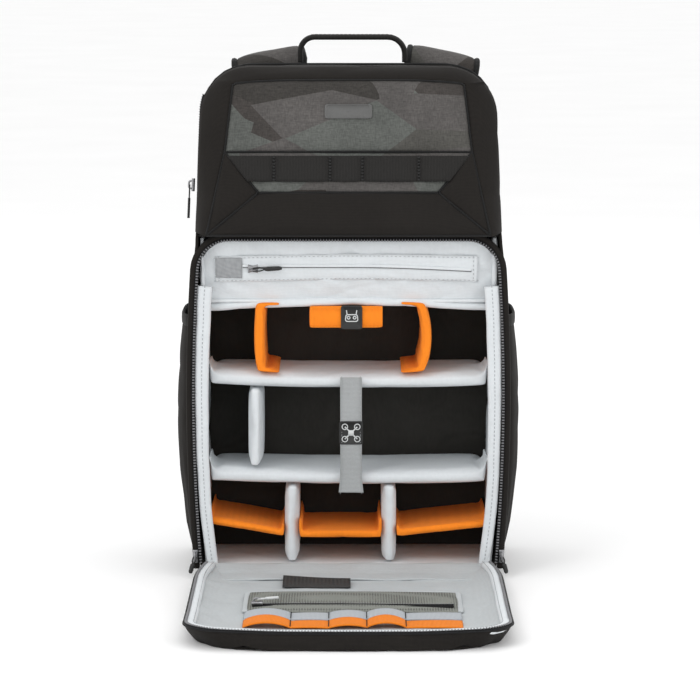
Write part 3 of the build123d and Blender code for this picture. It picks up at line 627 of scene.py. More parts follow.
def crown_strip():
    """The gusset between the front's seams and the shell's edge, from hem to hem over the top."""
    left = [mirrored(p, -1) for p in (hem_seam, shoulder_seam, top_seam)]
    right = [mirrored(p, 1) for p in (top_seam, shoulder_seam, hem_seam)]
    side_count, top_count = 50, 90
    inner_left = evenly(left, 0.001)
    inner_left = inner_left[np.linspace(0, len(inner_left) - 1, side_count).astype(int)]
    inner_right = evenly(right, 0.001)
    inner_right = inner_right[np.linspace(0, len(inner_right) - 1, side_count).astype(int)]
    across = np.linspace(-1, 1, top_count)
    arch = 0.0035 * (1 - across ** 4)
    inner_top = np.stack([across * top_seam[0], top_seam[1] + 0 * across, top_seam[2] + arch], axis=1)
    inner = np.vstack([inner_left[:-1], inner_top, inner_right[1:]])

    loop = bag_outline[bag_outline[:, 1] > hem_seam[2] - 0.004]
    loop = loop[np.argsort(np.arctan2(loop[:, 0], loop[:, 1] - 0.30))]
    loop = evenly(loop, 0.002)
    corner = np.argmin(np.abs(loop[:, 1] - 0.462) + 10 * (loop[:, 0] > 0))
    low = loop[:corner + 1][np.linspace(0, corner, side_count).round().astype(int)]
    over = loop[corner:len(loop) - corner]
    over = over[np.linspace(0, len(over) - 1, top_count).round().astype(int)]
    outer = np.vstack([low[:-1], over, (low * (-1, 1))[::-1][1:]])
    outer = in_space(outer, "xz", 0)
    outer[:, 1] = side_front(np.maximum(outer[:, 2], 0.3226)) + 0.0005
    outer = swell(outer)
    rows = []
    for t in np.linspace(0, 1, 9):
        row = inner * (1 - t) + outer * t
        out = (row - np.array((0, 0.05, 0.38))) * (0.25, 1, 0.25) - Y * 0.05
        out = out / np.linalg.norm(out, axis=1, keepdims=True)
        rows.append(row + out * 0.0042 * math.sin(math.pi * t) ** 0.8)
    strip = piece("upper_gusset", lattice(np.array(rows)), shell_cloth)
    outward(strip)
    modified(strip, "SOLIDIFY", thickness=0.002, offset=-1)
    wrinkle(strip, 0.0008, (0.05, 0.05, 0.05), seed=11)
    return inner


def upper_front():
    """Front of the upper section: printed panels, collar, side facets and seams."""
    left_top, right_top = mirrored(top_seam, -1), mirrored(top_seam, 1)
    left_shoulder, right_shoulder = mirrored(shoulder_seam, -1), mirrored(shoulder_seam, 1)
    left_waist, right_waist = mirrored(waist_seam, -1), mirrored(waist_seam, 1)
    left_hem, right_hem = mirrored(hem_seam, -1), mirrored(hem_seam, 1)
    seam_line = crown_strip()
    panel = facet((left_shoulder, right_shoulder, right_top, left_top), 0.0045, (60, 24))
    across = np.linspace(-1, 1, 60)[:, None]
    panel[..., 2] += 0.0035 * (1 - across ** 4) * np.linspace(0, 1, 24)[None] ** 2
    printed = [panel, facet((left_waist, right_waist, right_shoulder, left_shoulder), 0.0015,
                            (60, 16))]
    dark = [facet((left_hem, right_hem, right_waist, left_waist), 0.0042, (60, 18)),
            facet((left_hem, left_waist, left_shoulder, left_shoulder), 0.0030, (22, 18)),
            facet((right_waist, right_hem, right_shoulder, right_shoulder), 0.0030, (22, 18))]
    for name, grids, material, nodes in (
            ("upper_front_print", printed, print_cloth, ("upper_front_panel",)),
            ("upper_front_plain", dark, shell_cloth, ())):
        front = piece(name, joined(*[lattice(g) for g in grids]), material, nodes=nodes)
        outward(front)
        modified(front, "SOLIDIFY", thickness=0.0025, offset=-1)
        wrinkle(front, 0.0006, (0.05, 0.05, 0.04), seed=7)

    # Underside of the collar, closing it down to the zip
    under = np.array([[left_hem, right_hem], [(-0.139, rim_y + 0.004, 0.3215),
                                              (0.139, rim_y + 0.004, 0.3215)]])
    lip = piece("collar_underside", lattice(under), shell_cloth)
    modified(lip, "SOLIDIFY", thickness=0.001)

    seams = [seam_line, np.array((left_shoulder, right_shoulder)), np.array((left_waist, right_waist)),
             np.array((left_hem, right_hem))]
    for side in (-1, 1):
        seams.append(np.array([mirrored(p, side) for p in (shoulder_seam, waist_seam, hem_seam)]))
    cords = [tube(evenly(line, 0.004), oval(0.0021, 0.0021, 8, 2), (0.3, -1, 0.4)) for line in seams]
    piece("upper_front_seams", joined(*cords), binding_black)


def outward(obj):
    """Turns the faces of an open sheet at the front of the bag to face out."""
    co, out = vertices(obj), normals(obj)
    middle = np.array((0, 0.05, 0.39))
    if np.sum((co - middle) * out) < 0:
        obj.data.flip_normals()


def daisy_chain():
    """Webbing across the front, sewn down by bar tacks, with a slack loop between them."""
    low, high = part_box("daisy_chain")
    tacks = np.array([-0.069, -0.017, 0.013, 0.065])
    steps = np.linspace(0, 1, 90)
    rows = []
    for t in np.linspace(0, 1, 9):
        z = high.z - 0.0012 + (low.z - high.z + 0.0018) * t
        half = 0.1125 + (0.0935 - 0.1125) * t
        x = -half + 2 * half * steps
        nearest = np.min(np.abs(x[:, None] - tacks[None]), axis=1)
        edge = np.minimum(1, (half - np.abs(x)) / 0.01)
        slack = 0.0016 * np.minimum(1, nearest / 0.012) * edge
        front = np.interp(z, [waist_seam[2], shoulder_seam[2]], [waist_seam[1], shoulder_seam[1]])
        rows.append(np.stack([x, front - 0.0022 - slack, np.full_like(x, z)], axis=1))
    band = piece("daisy_chain_webbing", lattice(np.array(rows)), black_webbing, nodes=("daisy_chain",))
    outward(band)
    modified(band, "SOLIDIFY", thickness=0.0014, offset=-1)
    marks = []
    for x in tacks:
        front = [np.array((x, np.interp(z, [waist_seam[2], shoulder_seam[2]],
                                        [waist_seam[1], shoulder_seam[1]]) - 0.0030, z))
                 for z in (low.z + 0.002, high.z - 0.003)]
        marks.append(stitches(np.array(front), -Y, 0.0016, 0.0014, 0.0022))
    piece("daisy_chain_tacks", joined(*marks), dark_thread)


def front_patch():
    """A plain rubber patch with a raised edge."""
    low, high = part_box("front_patch")
    corners = [(low.x, low.z), (high.x, low.z), (high.x, high.z), (low.x, high.z)]
    middle_y, middle_z = low.y, (low.z + high.z) / 2
    path = rounded(corners, [0.002] * 4, 0.002, closed=True)
    slope = (shoulder_seam[1] - top_seam[1]) / (shoulder_seam[2] - top_seam[2])
    rings = []
    for scale, out in ((1, 0.0032), (1, 0.0), (0.94, -0.0004), (0.9, 0.0006), (0.02, 0.0004)):
        ring = path * scale + np.array(((low.x + high.x) / 2, middle_z)) * (1 - scale)
        y = middle_y + (ring[:, 1] - low.z) * slope + out
        rings.append(np.stack([ring[:, 0], y, ring[:, 1]], axis=1))
    piece("front_patch_plain", lattice(np.array(rings), False, True), patch_rubber,
          nodes=("front_patch",))


# ---------------------------------------------------------------- zips
def zipper(path, out, tape_width, side, name, body="bag", nodes=(), pitch=0.0027, tooth=0.0024):
    """Zip tape with a coil and its teeth along a path; out is the direction the zip faces."""
    along = tangents(path)
    across = np.cross(along, np.broadcast_to(np.array(out, float), path.shape)) * side
    tape_middle = path + across * tape_width * 0.45
    flat = oval(tape_width, 0.0012, 8, 6)
    tape = tube(tape_middle, flat, out)
    coil = tube(path + np.array(out) * 0.0009, oval(0.0024, 0.0020, 8, 2), out)
    spots = evenly(path + np.array(out) * 0.0020 - across * 0.0004, pitch)
    lines = tangents(spots)
    sides = np.cross(lines, np.broadcast_to(np.array(out, float), spots.shape))
    teeth = boxes(spots, sides, lines, (tooth, pitch * 0.42, 0.0009))
    piece(name, joined(tape, coil), zip_black, body, nodes)
    piece(f"{name}_teeth", teeth, tooth_metal, body)


def main_zip():
    path = swell(in_space(rim_path(0.0025, zip_start), "xz", rim_y + 0.0012))
    zipper(path, -Y, 0.005, -1, "main_zip_bag_side", nodes=("main_zip_body",))
    # Black facing between the zip and the shell
    facing = swell(in_space(rim_path(-0.0012, zip_start - 0.006), "xz", rim_y + 0.004))
    piece("main_zip_facing", tube(facing, oval(0.0060, 0.008, 10, 3), -Y), shell_cloth)


def rim_binding():
    """Broad grey border down both sides of the opening, stitched along its middle."""
    bands, rows = [], []
    for side in (-1, 1):
        z = np.linspace(0.274, 0.010, 70)
        t = (0.274 - z) / 0.264
        x = 0.1305 - 0.0035 * np.clip((t - 0.75) / 0.25, 0, 1) ** 1.5
        line = swell(np.stack([side * x, np.full_like(z, rim_y + 0.0032), z], axis=1))
        line += (lumps(line, 0.018, 2)[:, None] - 0.5) * np.array((0.0010, 0.0010, 0))
        width = 0.0140 - 0.0035 * t
        bands.append(tube(line, np.stack([oval(w, 0.0062, 16, 2.6) for w in width]), Y))
        rows.append(stitches(line - Y * 0.0031, -Y, 0.0020, 0.0018, 0.0006))
    piece("rim_border", joined(*bands), liner_cloth, nodes=("rim_binding",))
    piece("rim_stitching", joined(*rows), stitch_thread)


def slider(name, node, centre, direction, out, length, width, body, pull, pull_material,
           hang=(0, 0, -1)):
    """A zip slider: a waisted metal body with a bridge, and a pull that hangs from it."""
    direction, out = unit(np.array(direction, float)), unit(np.array(out, float))
    side = np.cross(direction, out)
    s = np.linspace(-0.5, 0.5, 13)
    widths = width * (0.72 + 0.28 * np.abs(2 * s) ** 1.5)
    path = centre + s[:, None] * direction * length
    sections = np.stack([oval(w, 0.0032, 12, 3.5) for w in widths])
    block = tube(path, sections, out)
    bridge = rounded([centre - direction * length * 0.3, centre - direction * length * 0.3
                      + out * 0.0042, centre + direction * length * 0.3 + out * 0.0042,
                      centre + direction * length * 0.3], [0, 0.0018, 0.0018, 0], 0.0008)
    loop = tube(bridge, oval(0.0018, 0.0012, 8, 3), side)
    piece(name, joined(block, loop), slider_metal, body, (node,))
    hang = unit(np.array(hang, float))
    start = centre + out * 0.0034
    end = start + hang * pull
    sheet_side = np.cross(hang, out)
    cord = [start + sheet_side * 0.0012, start + hang * pull * 0.25 + sheet_side * 0.0016,
            start + hang * pull * 0.45]
    other = [start - sheet_side * 0.0012, start + hang * pull * 0.25 - sheet_side * 0.0016,
             start + hang * pull * 0.45]
    cords = [tube(evenly(c, 0.0015), oval(0.0013, 0.0013, 8, 2), out) for c in (cord, other)]
    tab_line = evenly([start + hang * pull * 0.4, end], 0.0015)
    tab_widths = np.interp(np.linspace(0, 1, len(tab_line)), [0, 0.15, 0.85, 1],
                           [0.0026, 0.0044, 0.0040, 0.0022])
    tab = tube(tab_line, np.stack([oval(w, 0.0024, 12, 3) for w in tab_widths]), out)
    piece(f"{name}_pull", joined(*cords, tab), pull_material, body)


def sliders():
    for side, name in ((-1, "left"), (1, "right")):
        low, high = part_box(f"main_slider_{name}")
        inner = low.x if side > 0 else high.x
        centre = np.array((inner + side * 0.0022, rim_y - 0.001, high.z - 0.0065))
        slider(f"main_zip_slider_{name}", f"main_slider_{name}", centre, Z, -Y, 0.012, 0.0056,
               f"main_slider_{name}", 0.016, black_rubber, (side * 0.3, -0.25, -1))
    low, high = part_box("liner_pocket_slider")
    out = unit(np.array((0, -60, -13.0)))
    centre = np.array((low.x + 0.0055, low.y - 0.0034, (low.z + high.z) / 2))
    slider("pocket_zip_slider", "liner_pocket_slider", centre, X, out, 0.009, 0.0085,
           "liner_pocket_slider", 0.027, black_rubber, (1, 0, 0.06))
    low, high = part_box("mesh_pocket_slider")
    centre = np.array((low.x + 0.0055, (low.y + high.y) / 2, low.z + 0.001))
    slider("organizer_zip_slider", "mesh_pocket_slider", centre, X, Z, 0.010, 0.0065,
           "mesh_pocket_slider", 0.020, badge_ink, (0.9, 0.35, 0))
    low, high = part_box("side_slider")
    flank = unit(np.array((8, 0, 176.0)))
    centre = np.array((high.x - 0.0052, (low.y + high.y) / 2, high.z - 0.006))
    slider("side_zip_slider", "side_slider", centre, flank, (-1, 0, 0.045), 0.012, 0.007,
           "side_slider", 0.032, black_rubber, -flank)


# ---------------------------------------------------------------- padded pieces
pads = []


def pad(node, material, inset, cap, voxel=0.0045, body="bag", fill=0.7):
    """Queues a padded copy of a CAD solid: remeshed and drawn in, to be blown up by cloth."""
    obj = cad_copy(node, material, body, f"{node}_pad")
    modified(obj, "REMESH", mode="VOXEL", voxel_size=voxel)
    modified(obj, "SMOOTH", factor=0.5, iterations=3)
    move_vertices(obj, vertices(obj) - normals(obj) * inset)
    pads.append((obj, cap, fill))
    return obj


def sag(obj, drop):
    """Lets a shelf hang down a little between its ends."""
    co = vertices(obj)
    middle = 1 - (np.abs(co[:, 0] - 0.012) / 0.132).clip(0, 1) ** 2
    co[:, 2] -= drop * (middle - 0.35) * np.clip((0.034 - co[:, 1]) / 0.05, 0, 1)
    move_vertices(obj, co)


def inflate_pads():
    """One cloth run with a little air pressure in every queued pad, then its result is kept."""
    scene = bpy.context.scene
    for obj, _, _ in pads:
        cloth_settings = obj.modifiers.new("air", "CLOTH").settings
        cloth_settings.use_pressure = True
        cloth_settings.uniform_pressure_force = 4
        cloth_settings.effector_weights.gravity = 0
        cloth_settings.quality = 4
    for number in range(1, 21):
        scene.frame_set(number)
    graph = bpy.context.evaluated_depsgraph_get()
    for obj, cap, _ in pads:
        start = vertices(obj)
        swollen = obj.evaluated_get(graph).to_mesh()
        co = np.zeros(len(swollen.vertices) * 3)
        swollen.vertices.foreach_get("co", co)
        move = co.reshape(-1, 3) - start
        length = np.linalg.norm(move, axis=1, keepdims=True)
        move *= np.minimum(1, cap / np.maximum(length, 1e-9))
        obj.evaluated_get(graph).to_mesh_clear()
        obj.modifiers.clear()
        move_vertices(obj, start + move)
    scene.frame_set(1)
    for obj, _, fill in pads:
        modified(obj, "SUBSURF", levels=1, render_levels=1)


def queue_pads():
    for node in ("shelf_upper", "shelf_lower"):
        sag(pad(node, liner_cloth, 0.0016, 0.0022, 0.0042), 0.0045)
    for node in ("lower_divider_left", "lower_divider_right", "middle_divider"):
        pad(node, liner_cloth, 0.0018, 0.0022, 0.0040, node)
    for node in ("controller_divider_left", "controller_divider_right"):
        pad(node, orange_cloth, 0.0005, 0.0014, 0.0022, node)
    for node in ("battery_divider_left", "battery_divider_middle", "battery_divider_right"):
        pad(node, orange_cloth, 0.0003, 0.0010, 0.0018, node)
    pad("controller_flap", orange_cloth, 0.0012, 0.0020, 0.0030, "controller_flap")
    pad("back_pads", air_mesh, 0.0015, 0.0040, 0.0050)


def liner_walls():
    for node in ("liner_left", "liner_right"):
        wall = cad_copy(node, liner_cloth)
        modified(wall, "REMESH", mode="VOXEL", voxel_size=0.0028)
        modified(wall, "SMOOTH", factor=0.5, iterations=4)
        wrinkle(wall, 0.0018, (0.03, 0.03, 0.045), seed=len(node))
    floor = cad_copy("liner_floor", liner_cloth)
    modified(floor, "REMESH", mode="VOXEL", voxel_size=0.0032)
    modified(floor, "SMOOTH", factor=0.5, iterations=3)
    wall = cad_copy("liner_rear_wall", dark_cloth)
    modified(wall, "REMESH", mode="VOXEL", voxel_size=0.0026)
    modified(wall, "SMOOTH", factor=0.5, iterations=3)
    wrinkle(wall, 0.0012, (0.05, 0.05, 0.04), seed=6)


def wall_point(x, height, out=0.0):
    """A point on the sloped lining above the controller bay: across, up from its foot, and out."""
    t = np.clip(height / 0.0615, 0, 1.05)
    swell_out = 0.0065 * np.sin(math.pi * np.clip(t, 0, 1)) ** 0.7
    y = -0.0565 - 0.0150 * t - swell_out * (1 - (np.abs(x) / 0.134) ** 6) * 0.8 - out
    return np.stack(np.broadcast_arrays(x, y, 0.2560 + height), axis=-1)


def top_lining():
    """Padded lining of the top compartment's sloped front, with an arched welt at its foot."""
    x = np.sin(np.linspace(-1, 1, 120) * math.pi / 2) * 0.1375
    foot = 0.0065 * (1 - (np.abs(x) / 0.1375) ** 1.6) - 0.003
    corner = 0.028
    reach = np.clip(np.abs(x) - (0.1375 - corner), 0, corner)
    head = 0.0608 - (corner - np.sqrt(corner ** 2 - reach ** 2))
    rows = []
    for t in np.linspace(0, 1, 44):
        height = foot + (head - foot) * t
        diagonal = np.sin((x * 0.9 + height * 1.1) * 210) * np.sin(math.pi * t) \
            * (0.5 + lumps(np.stack([x, 0 * x, height], axis=1), 0.05, 3))
        rows.append(wall_point(x, height, 0.0007 * diagonal))
    wall = piece("top_lining_cloth", lattice(np.array(rows)), liner_cloth, nodes=("top_liner_panel",))
    outward(wall)
    modified(wall, "SOLIDIFY", thickness=0.003, offset=-1)
    wrinkle(wall, 0.0012, (0.04, 0.03, 0.03), seed=12)
    welt = wall_point(x, foot, -0.0015) - Z * 0.001
    padding = piece("top_lining_welt", tube(evenly(welt, 0.003), oval(0.0105, 0.0085, 16, 2.2), Z),
                    liner_cloth)
    wrinkle(padding, 0.0010, (0.03, 0.03, 0.02), seed=13)

    # Floor of the top compartment, seen from below as the controller bay's ceiling
    low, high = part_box("top_liner_panel")
    xs, ys = np.linspace(low.x, high.x, 40), np.linspace(-0.060, high.y, 30)
    ceiling = np.zeros((len(ys), len(xs), 3))
    ceiling[..., 0], ceiling[..., 1] = xs[None], ys[:, None]
    ceiling[..., 2] = low.z + 0.0008
    under = piece("top_compartment_floor", lattice(ceiling), liner_cloth)
    modified(under, "SOLIDIFY", thickness=0.003, offset=0)


def liner_pocket():
    """The welt pocket on the sloped wall: its fine zip line, stitched ends and a silver patch."""
    low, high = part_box("liner_pocket")
    middle = (low.z + high.z) / 2 - 0.256
    x = np.linspace(low.x, high.x, 120)
    rows = []
    for t in np.linspace(-1, 1, 13):
        curve = -0.0015 + 0.002 * np.cos((x - 0.01) * 14)
        rows.append(wall_point(x, middle + t * 0.0125 + curve, 0.0012 + 0.0008 * (1 - abs(t) ** 3)))
    pocket = piece("liner_pocket_cloth", lattice(np.array(rows)), liner_cloth, nodes=("liner_pocket",))
    outward(pocket)
    modified(pocket, "SOLIDIFY", thickness=0.0012, offset=-1)
    wrinkle(pocket, 0.0008, (0.03, 0.02, 0.012), seed=3)
    ends = []
    for t in (-0.86, 0.86):
        curve = -0.0015 + 0.002 * np.cos((x - 0.01) * 14)
        line = wall_point(x, middle + t * 0.0125 + curve, 0.0024)
        ends.append(stitches(line, -Y, 0.0018, 0.0022, 0.0004))
    for end in (low.x + 0.004, high.x - 0.004):
        heights = np.linspace(-0.010, 0.010, 8) + middle
        ends.append(stitches(wall_point(np.full(8, end), heights, 0.0024), -Y, 0.0018, 0.0022, 0.0004))
    piece("liner_pocket_stitching", joined(*ends), stitch_thread)

    low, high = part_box("liner_pocket_zip")
    x = np.linspace(low.x, high.x, 100)
    bow = 0.0008 - 0.0045 * np.clip((x - 0.01) / 0.11, 0, 1) ** 1.6
    line = wall_point(x, middle + bow, 0.0024)
    piece("liner_pocket_zip_line", tube(line, oval(0.0016, 0.0010, 8, 2), -Y), zip_grey,
          nodes=("liner_pocket_zip",))
    flap = tube(line + Z * 0.0014, oval(0.0030, 0.0016, 10, 2.4), -Y)
    piece("liner_pocket_zip_flap", flap, liner_cloth)
    low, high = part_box("liner_pocket_patch")
    x = np.linspace(low.x, high.x, 14)
    rows = [wall_point(x, middle + h, 0.0030) for h in np.linspace(-0.0100, 0.0095, 10)]
    patch = piece("pocket_silver_patch", lattice(np.array(rows)), silver_cloth,
                  nodes=("liner_pocket_patch",))
    outward(patch)
    modified(patch, "SOLIDIFY", thickness=0.0007, offset=-1)
    wrinkle(patch, 0.0006, (0.012, 0.01, 0.01), seed=8)


# ---------------------------------------------------------------- strap, flap and badges
def badge_plate(name, node, body, centre, width, height, relief):
    """A moulded badge with a raised border and a raised pictogram, facing the front."""
    corners = [(-width / 2, -height / 2), (width / 2, -height / 2), (width / 2, height / 2),
               (-width / 2, height / 2)]
    path = rounded(corners, [0.002] * 4, 0.001, closed=True)
    rings = []
    for scale, out in ((1, 0.0010), (1, -0.0004), (0.97, -0.0009), (0.90, -0.0009), (0.87, -0.0004),
                       (0.02, -0.0004)):
        ring = in_space(path * scale, "xz", out)
        rings.append(ring + centre)
    piece(name, lattice(np.array(rings), False, True), badge_rubber, body, (node,))
    piece(f"{name}_pictogram", relief(centre - Y * 0.0007), badge_ink, body)


def ring_line(centre, radius, thick=0.0009):
    angle = np.linspace(0, 2 * math.pi, 20, endpoint=False)
    path = centre + radius * (np.cos(angle)[:, None] * X + np.sin(angle)[:, None] * Z)
    return tube(path, oval(thick, 0.0007, 6, 3), Y, closed=True)


def quadcopter(centre):
    """Four rotor rings joined to a small square body."""
    arm = 0.0058
    parts = []
    for dx in (-1, 1):
        for dz in (-1, 1):
            hub = centre + arm * (dx * X + dz * Z)
            parts.append(ring_line(hub, 0.0026))
            parts.append(tube(evenly([centre, hub], 0.002), oval(0.0013, 0.0007, 6, 3), -Y))
    parts.append(boxes([centre], [X], [Z], (0.0052, 0.0052, 0.0007)))
    return joined(*parts)


def controller_sign(centre):
    """A rounded remote control with two sticks."""
    corners = [(-0.0060, -0.0035), (0.0060, -0.0035), (0.0052, 0.0028), (-0.0052, 0.0028)]
    body = in_space(rounded(corners, [0.0018] * 4, 0.0008, closed=True), "xz", 0) + centre
    parts = [tube(body, oval(0.0010, 0.0007, 6, 3), Y, closed=True)]
    parts += [ring_line(centre + X * dx, 0.0013) for dx in (-0.0028, 0.0028)]
    parts.append(tube(evenly([centre + Z * 0.0028 - X * 0.0042, centre + Z * 0.0070 - X * 0.0048],
                             0.001), oval(0.0010, 0.0007, 6, 3), -Y))
    parts.append(tube(evenly([centre + Z * 0.0028 + X * 0.0042, centre + Z * 0.0070 + X * 0.0048],
                             0.001), oval(0.0010, 0.0007, 6, 3), -Y))
    return joined(*parts)


def drone_strap():
    low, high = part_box("drone_strap")
    middle, y = (low.x + high.x) / 2, (low.y + high.y) / 2
    z = np.linspace(high.z, low.z, 60)
    t = (high.z - z) / (high.z - low.z)
    half = (high.x - low.x) / 2 * (1 + 0.16 * np.clip((t - 0.82) / 0.18, 0, 1) ** 1.5)
    sway = 0.0008 * np.sin(t * 9)
    rows = [np.stack([middle + half * s, y + sway + 0.0004 * np.cos(6 * s + t * 5), z], axis=1)
            for s in np.linspace(-1, 1, 9)]
    strap = piece("drone_strap_webbing", lattice(np.array(rows)), grey_webbing, "drone_strap",
                  ("drone_strap",))
    modified(strap, "SOLIDIFY", thickness=0.0015, offset=0)
    edges = []
    for s in (-0.86, 0.86):
        line = np.stack([middle + half * s, y + sway - 0.0011, z], axis=1)
        edges.append(stitches(line, -Y, 0.0022, 0.0014, 0.0004))
    piece("drone_strap_stitching", joined(*edges), stitch_thread, "drone_strap")
    low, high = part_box("drone_strap_badge")
    centre = np.array(((low.x + high.x) / 2, low.y + 0.0009, (low.z + high.z) / 2))
    badge_plate("drone_badge", "drone_strap_badge", "drone_strap", centre, high.x - low.x,
                high.z - low.z, quadcopter)


def controller_flap_band():
    low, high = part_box("controller_flap_badge")
    centre = np.array(((low.x + high.x) / 2, low.y + 0.0009, (low.z + high.z) / 2))
    badge_plate("controller_badge", "controller_flap_badge", "controller_flap", centre,
                high.x - low.x, high.z - low.z, controller_sign)
    low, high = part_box("controller_flap")
    seams = []
    for z in (low.z + 0.0035, high.z - 0.0035):
        for start, end in ((low.x + 0.004, -0.009), (0.0145, high.x - 0.004)):
            line = np.array([(start, low.y - 0.0002, z), (end, low.y - 0.0002, z)])
            seams.append(stitches(line, -Y, 0.0022, 0.0014, 0.0005))
    piece("controller_flap_stitching", joined(*seams), orange_cloth, "controller_flap")


# ---------------------------------------------------------------- side pockets and side zip
def side_pockets():
    """Stretch pockets: a bulging skin gathered at its foot under an elastic hem."""
    for side, name in ((-1, "left"), (1, "right")):
        low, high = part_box(f"side_pocket_{name}")
        inner = low.x if side > 0 else high.x
        depth = high.x - low.x
        rows = []
        for t in np.linspace(0, 1, 60):
            z = low.z + (high.z - low.z) * t
            s = np.linspace(-1, 1, 60)
            y = (low.y + high.y) / 2 + (high.y - low.y) / 2 * s * (0.97 + 0.03 * math.sin(math.pi * t))
            across = (1 - np.abs(s) ** 3.2) ** 0.6
            bulge = 0.0025 + (depth - 0.0035) * np.interp(t, [0, 0.12, 0.35, 0.6, 0.85, 1],
                                                         [0.1, 0.55, 0.95, 1, 0.78, 0.55])
            pleat = 0.0008 * np.sin(s * 26) * (1 - t) ** 2 * across
            out = belly(z) + bulge * across + pleat
            rows.append(np.stack([inner + side * out, y, np.full_like(y, z)], axis=1))
        skin = piece(f"side_pocket_{name}_cloth", lattice(np.array(rows)), shell_cloth,
                     nodes=(f"side_pocket_{name}",))
        if np.sum(normals(skin)[:, 0]) * side < 0:
            skin.data.flip_normals()
        modified(skin, "SOLIDIFY", thickness=0.0016, offset=-1)
        wrinkle(skin, 0.0010, (0.03, 0.03, 0.05), seed=3 + side)
        hem = np.array(rows[-1]) + np.array((side * 0.0004, 0, -0.004))
        piece(f"side_pocket_{name}_hem", tube(hem, oval(0.0032, 0.011, 10, 3.5), Z), black_webbing)


def side_zip():
    low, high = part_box("side_zip")
    z = np.linspace(low.z, high.z, 60)
    outline = bag_outline[bag_outline[:, 0] < 0]
    outline = outline[np.argsort(outline[:, 1])]
    x = np.interp(z, outline[:, 1], outline[:, 0])
    path = np.stack([x - 0.0008, np.full_like(z, (low.y + high.y) / 2), z], axis=1)
    zipper(path, -X, 0.004, 1, "side_zip_line", nodes=("side_zip",), pitch=0.0024)


# ---------------------------------------------------------------- handle and straps
def top_handle():
    low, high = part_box("top_handle")
    y = (low.y + high.y) / 2
    inset = 0.003
    path = rounded([(low.x + inset, low.z - 0.002), (low.x + inset, high.z - inset),
                    (high.x - inset, high.z - inset), (high.x - inset, low.z - 0.002)],
                   [0, 0.0135, 0.0165, 0], 0.002)
    path = in_space(path, "xz", y)
    t = np.linspace(0, 1, len(path))
    widths = 0.0125 + 0.0035 * np.clip(np.sin(math.pi * t) * 1.6, 0, 1)
    sections = np.stack([oval(0.0054, w, 16, 3) for w in widths])
    piece("handle_webbing", tube(path, sections, Y), black_webbing, "top_handle", ("top_handle",))
    level = path[path[:, 2] > high.z - inset - 0.0005]
    rows = [stitches(level + np.array((0, offset, 0)) + Z * 0.0024, Z, 0.0024, 0.0016, 0.0004)
            for offset in (-0.0052, 0.0052)]
    piece("handle_stitching", joined(*rows), dark_thread, "top_handle")


strap_middle_x = 0.007
strap_pivot = np.array((0.089, 0.480))
strap_slant = math.radians(11.5)
strap_corners = [(0.0855, 0.398), (0.0855, 0.4855), (0.113, 0.4735), (0.116, 0.172)]


def shoulder_straps():
    """Padded straps with a printed face and bound edges, leaning out at the top."""
    route = rounded(strap_corners, [0, 0.0129, 0.010, 0], 0.004)
    t = np.linspace(0, 1, len(route))
    inner = np.interp(route[:, 1], [0.172, 0.300, 0.420, 0.468, 0.500],
                      [0.076, 0.066, 0.050, 0.047, 0.056])
    outer = np.interp(route[:, 1], [0.172, 0.300, 0.430, 0.455, 0.500],
                      [0.118, 0.124, 0.117, 0.117, 0.124])
    for side, name in ((-1, "left"), (1, "right")):
        def leaning(edge):
            """A line of the strap at a distance from the bag's middle, lower towards the outside."""
            lean = (strap_pivot[0] - edge) * math.tan(strap_slant)
            line = in_space(route, "yz", strap_middle_x + side * edge)
            crest = np.clip((route[:, 1] - 0.40) / 0.05, 0, 1)
            line[:, 2] += lean * crest
            return line

        across = np.linspace(-1, 1, 15)
        along = tangents(in_space(route, "yz", 0))
        out = np.cross(along, X)
        taper = np.clip(np.minimum(t, 1 - t) / 0.02, 0.3, 1)
        rows = []
        for face in (1, -1):
            for s in across * face:
                edge = (inner + outer) / 2 + (outer - inner - 0.004) / 2 * s * side
                depth = 0.0048 * (1 - abs(s) ** 4) ** 0.5 * taper + 0.0008
                rows.append(leaning(edge) + out * (face * depth)[:, None])
        grid = np.array(rows).transpose(1, 0, 2)
        verts, faces = lattice(grid, False, True)
        ring = grid.shape[1]
        faces += [tuple(range(ring)), tuple(range(len(verts) - 1, len(verts) - ring - 1, -1))]
        strap = piece(f"shoulder_strap_{name}_pad", (verts, faces), print_cloth,
                      nodes=(f"shoulder_strap_{name}",))
        wrinkle(strap, 0.0010, (0.03, 0.03, 0.03), seed=5 + side)
        bound = [tube(leaning(edge), oval(0.0090, 0.0060, 10, 3), X)
                 for edge in (inner + 0.0030, outer - 0.0030)]
        piece(f"shoulder_strap_{name}_binding", joined(*bound), binding_black)


def lower_webbings():
    low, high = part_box("lower_webbings")
    for side, name in ((-1, "left"), (1, "right")):
        x = strap_middle_x + side * 0.096
        line = evenly([(x, 0.1155, high.z - 0.002), (x, 0.0835, low.z + 0.002)], 0.004)
        line[:, 1] += 0.002 * np.sin(np.linspace(0, math.pi, len(line)))
        nodes = ("lower_webbings",) if side < 0 else ()
        piece(f"lower_webbing_{name}", tube(line, oval(0.0018, 0.0195, 10, 6)[:, ::1], X),
              black_webbing, nodes=nodes)
        lock = [tube(rounded([(x - 0.014, 0.172), (x + 0.014, 0.172), (x + 0.014, 0.150),
                              (x - 0.014, 0.150)], [0.004] * 4, 0.002, closed=True)
                     @ np.array([[1, 0, 0], [0, 0, 1.0]]) + Y * 0.118,
                     oval(0.0042, 0.0045, 10, 3), Y, closed=True),
                tube(evenly([(x - 0.013, 0.118, 0.161), (x + 0.013, 0.118, 0.161)], 0.002),
                     oval(0.0030, 0.0040, 10, 3), Y)]
        piece(f"ladder_lock_{name}", joined(*lock), buckle_plastic)


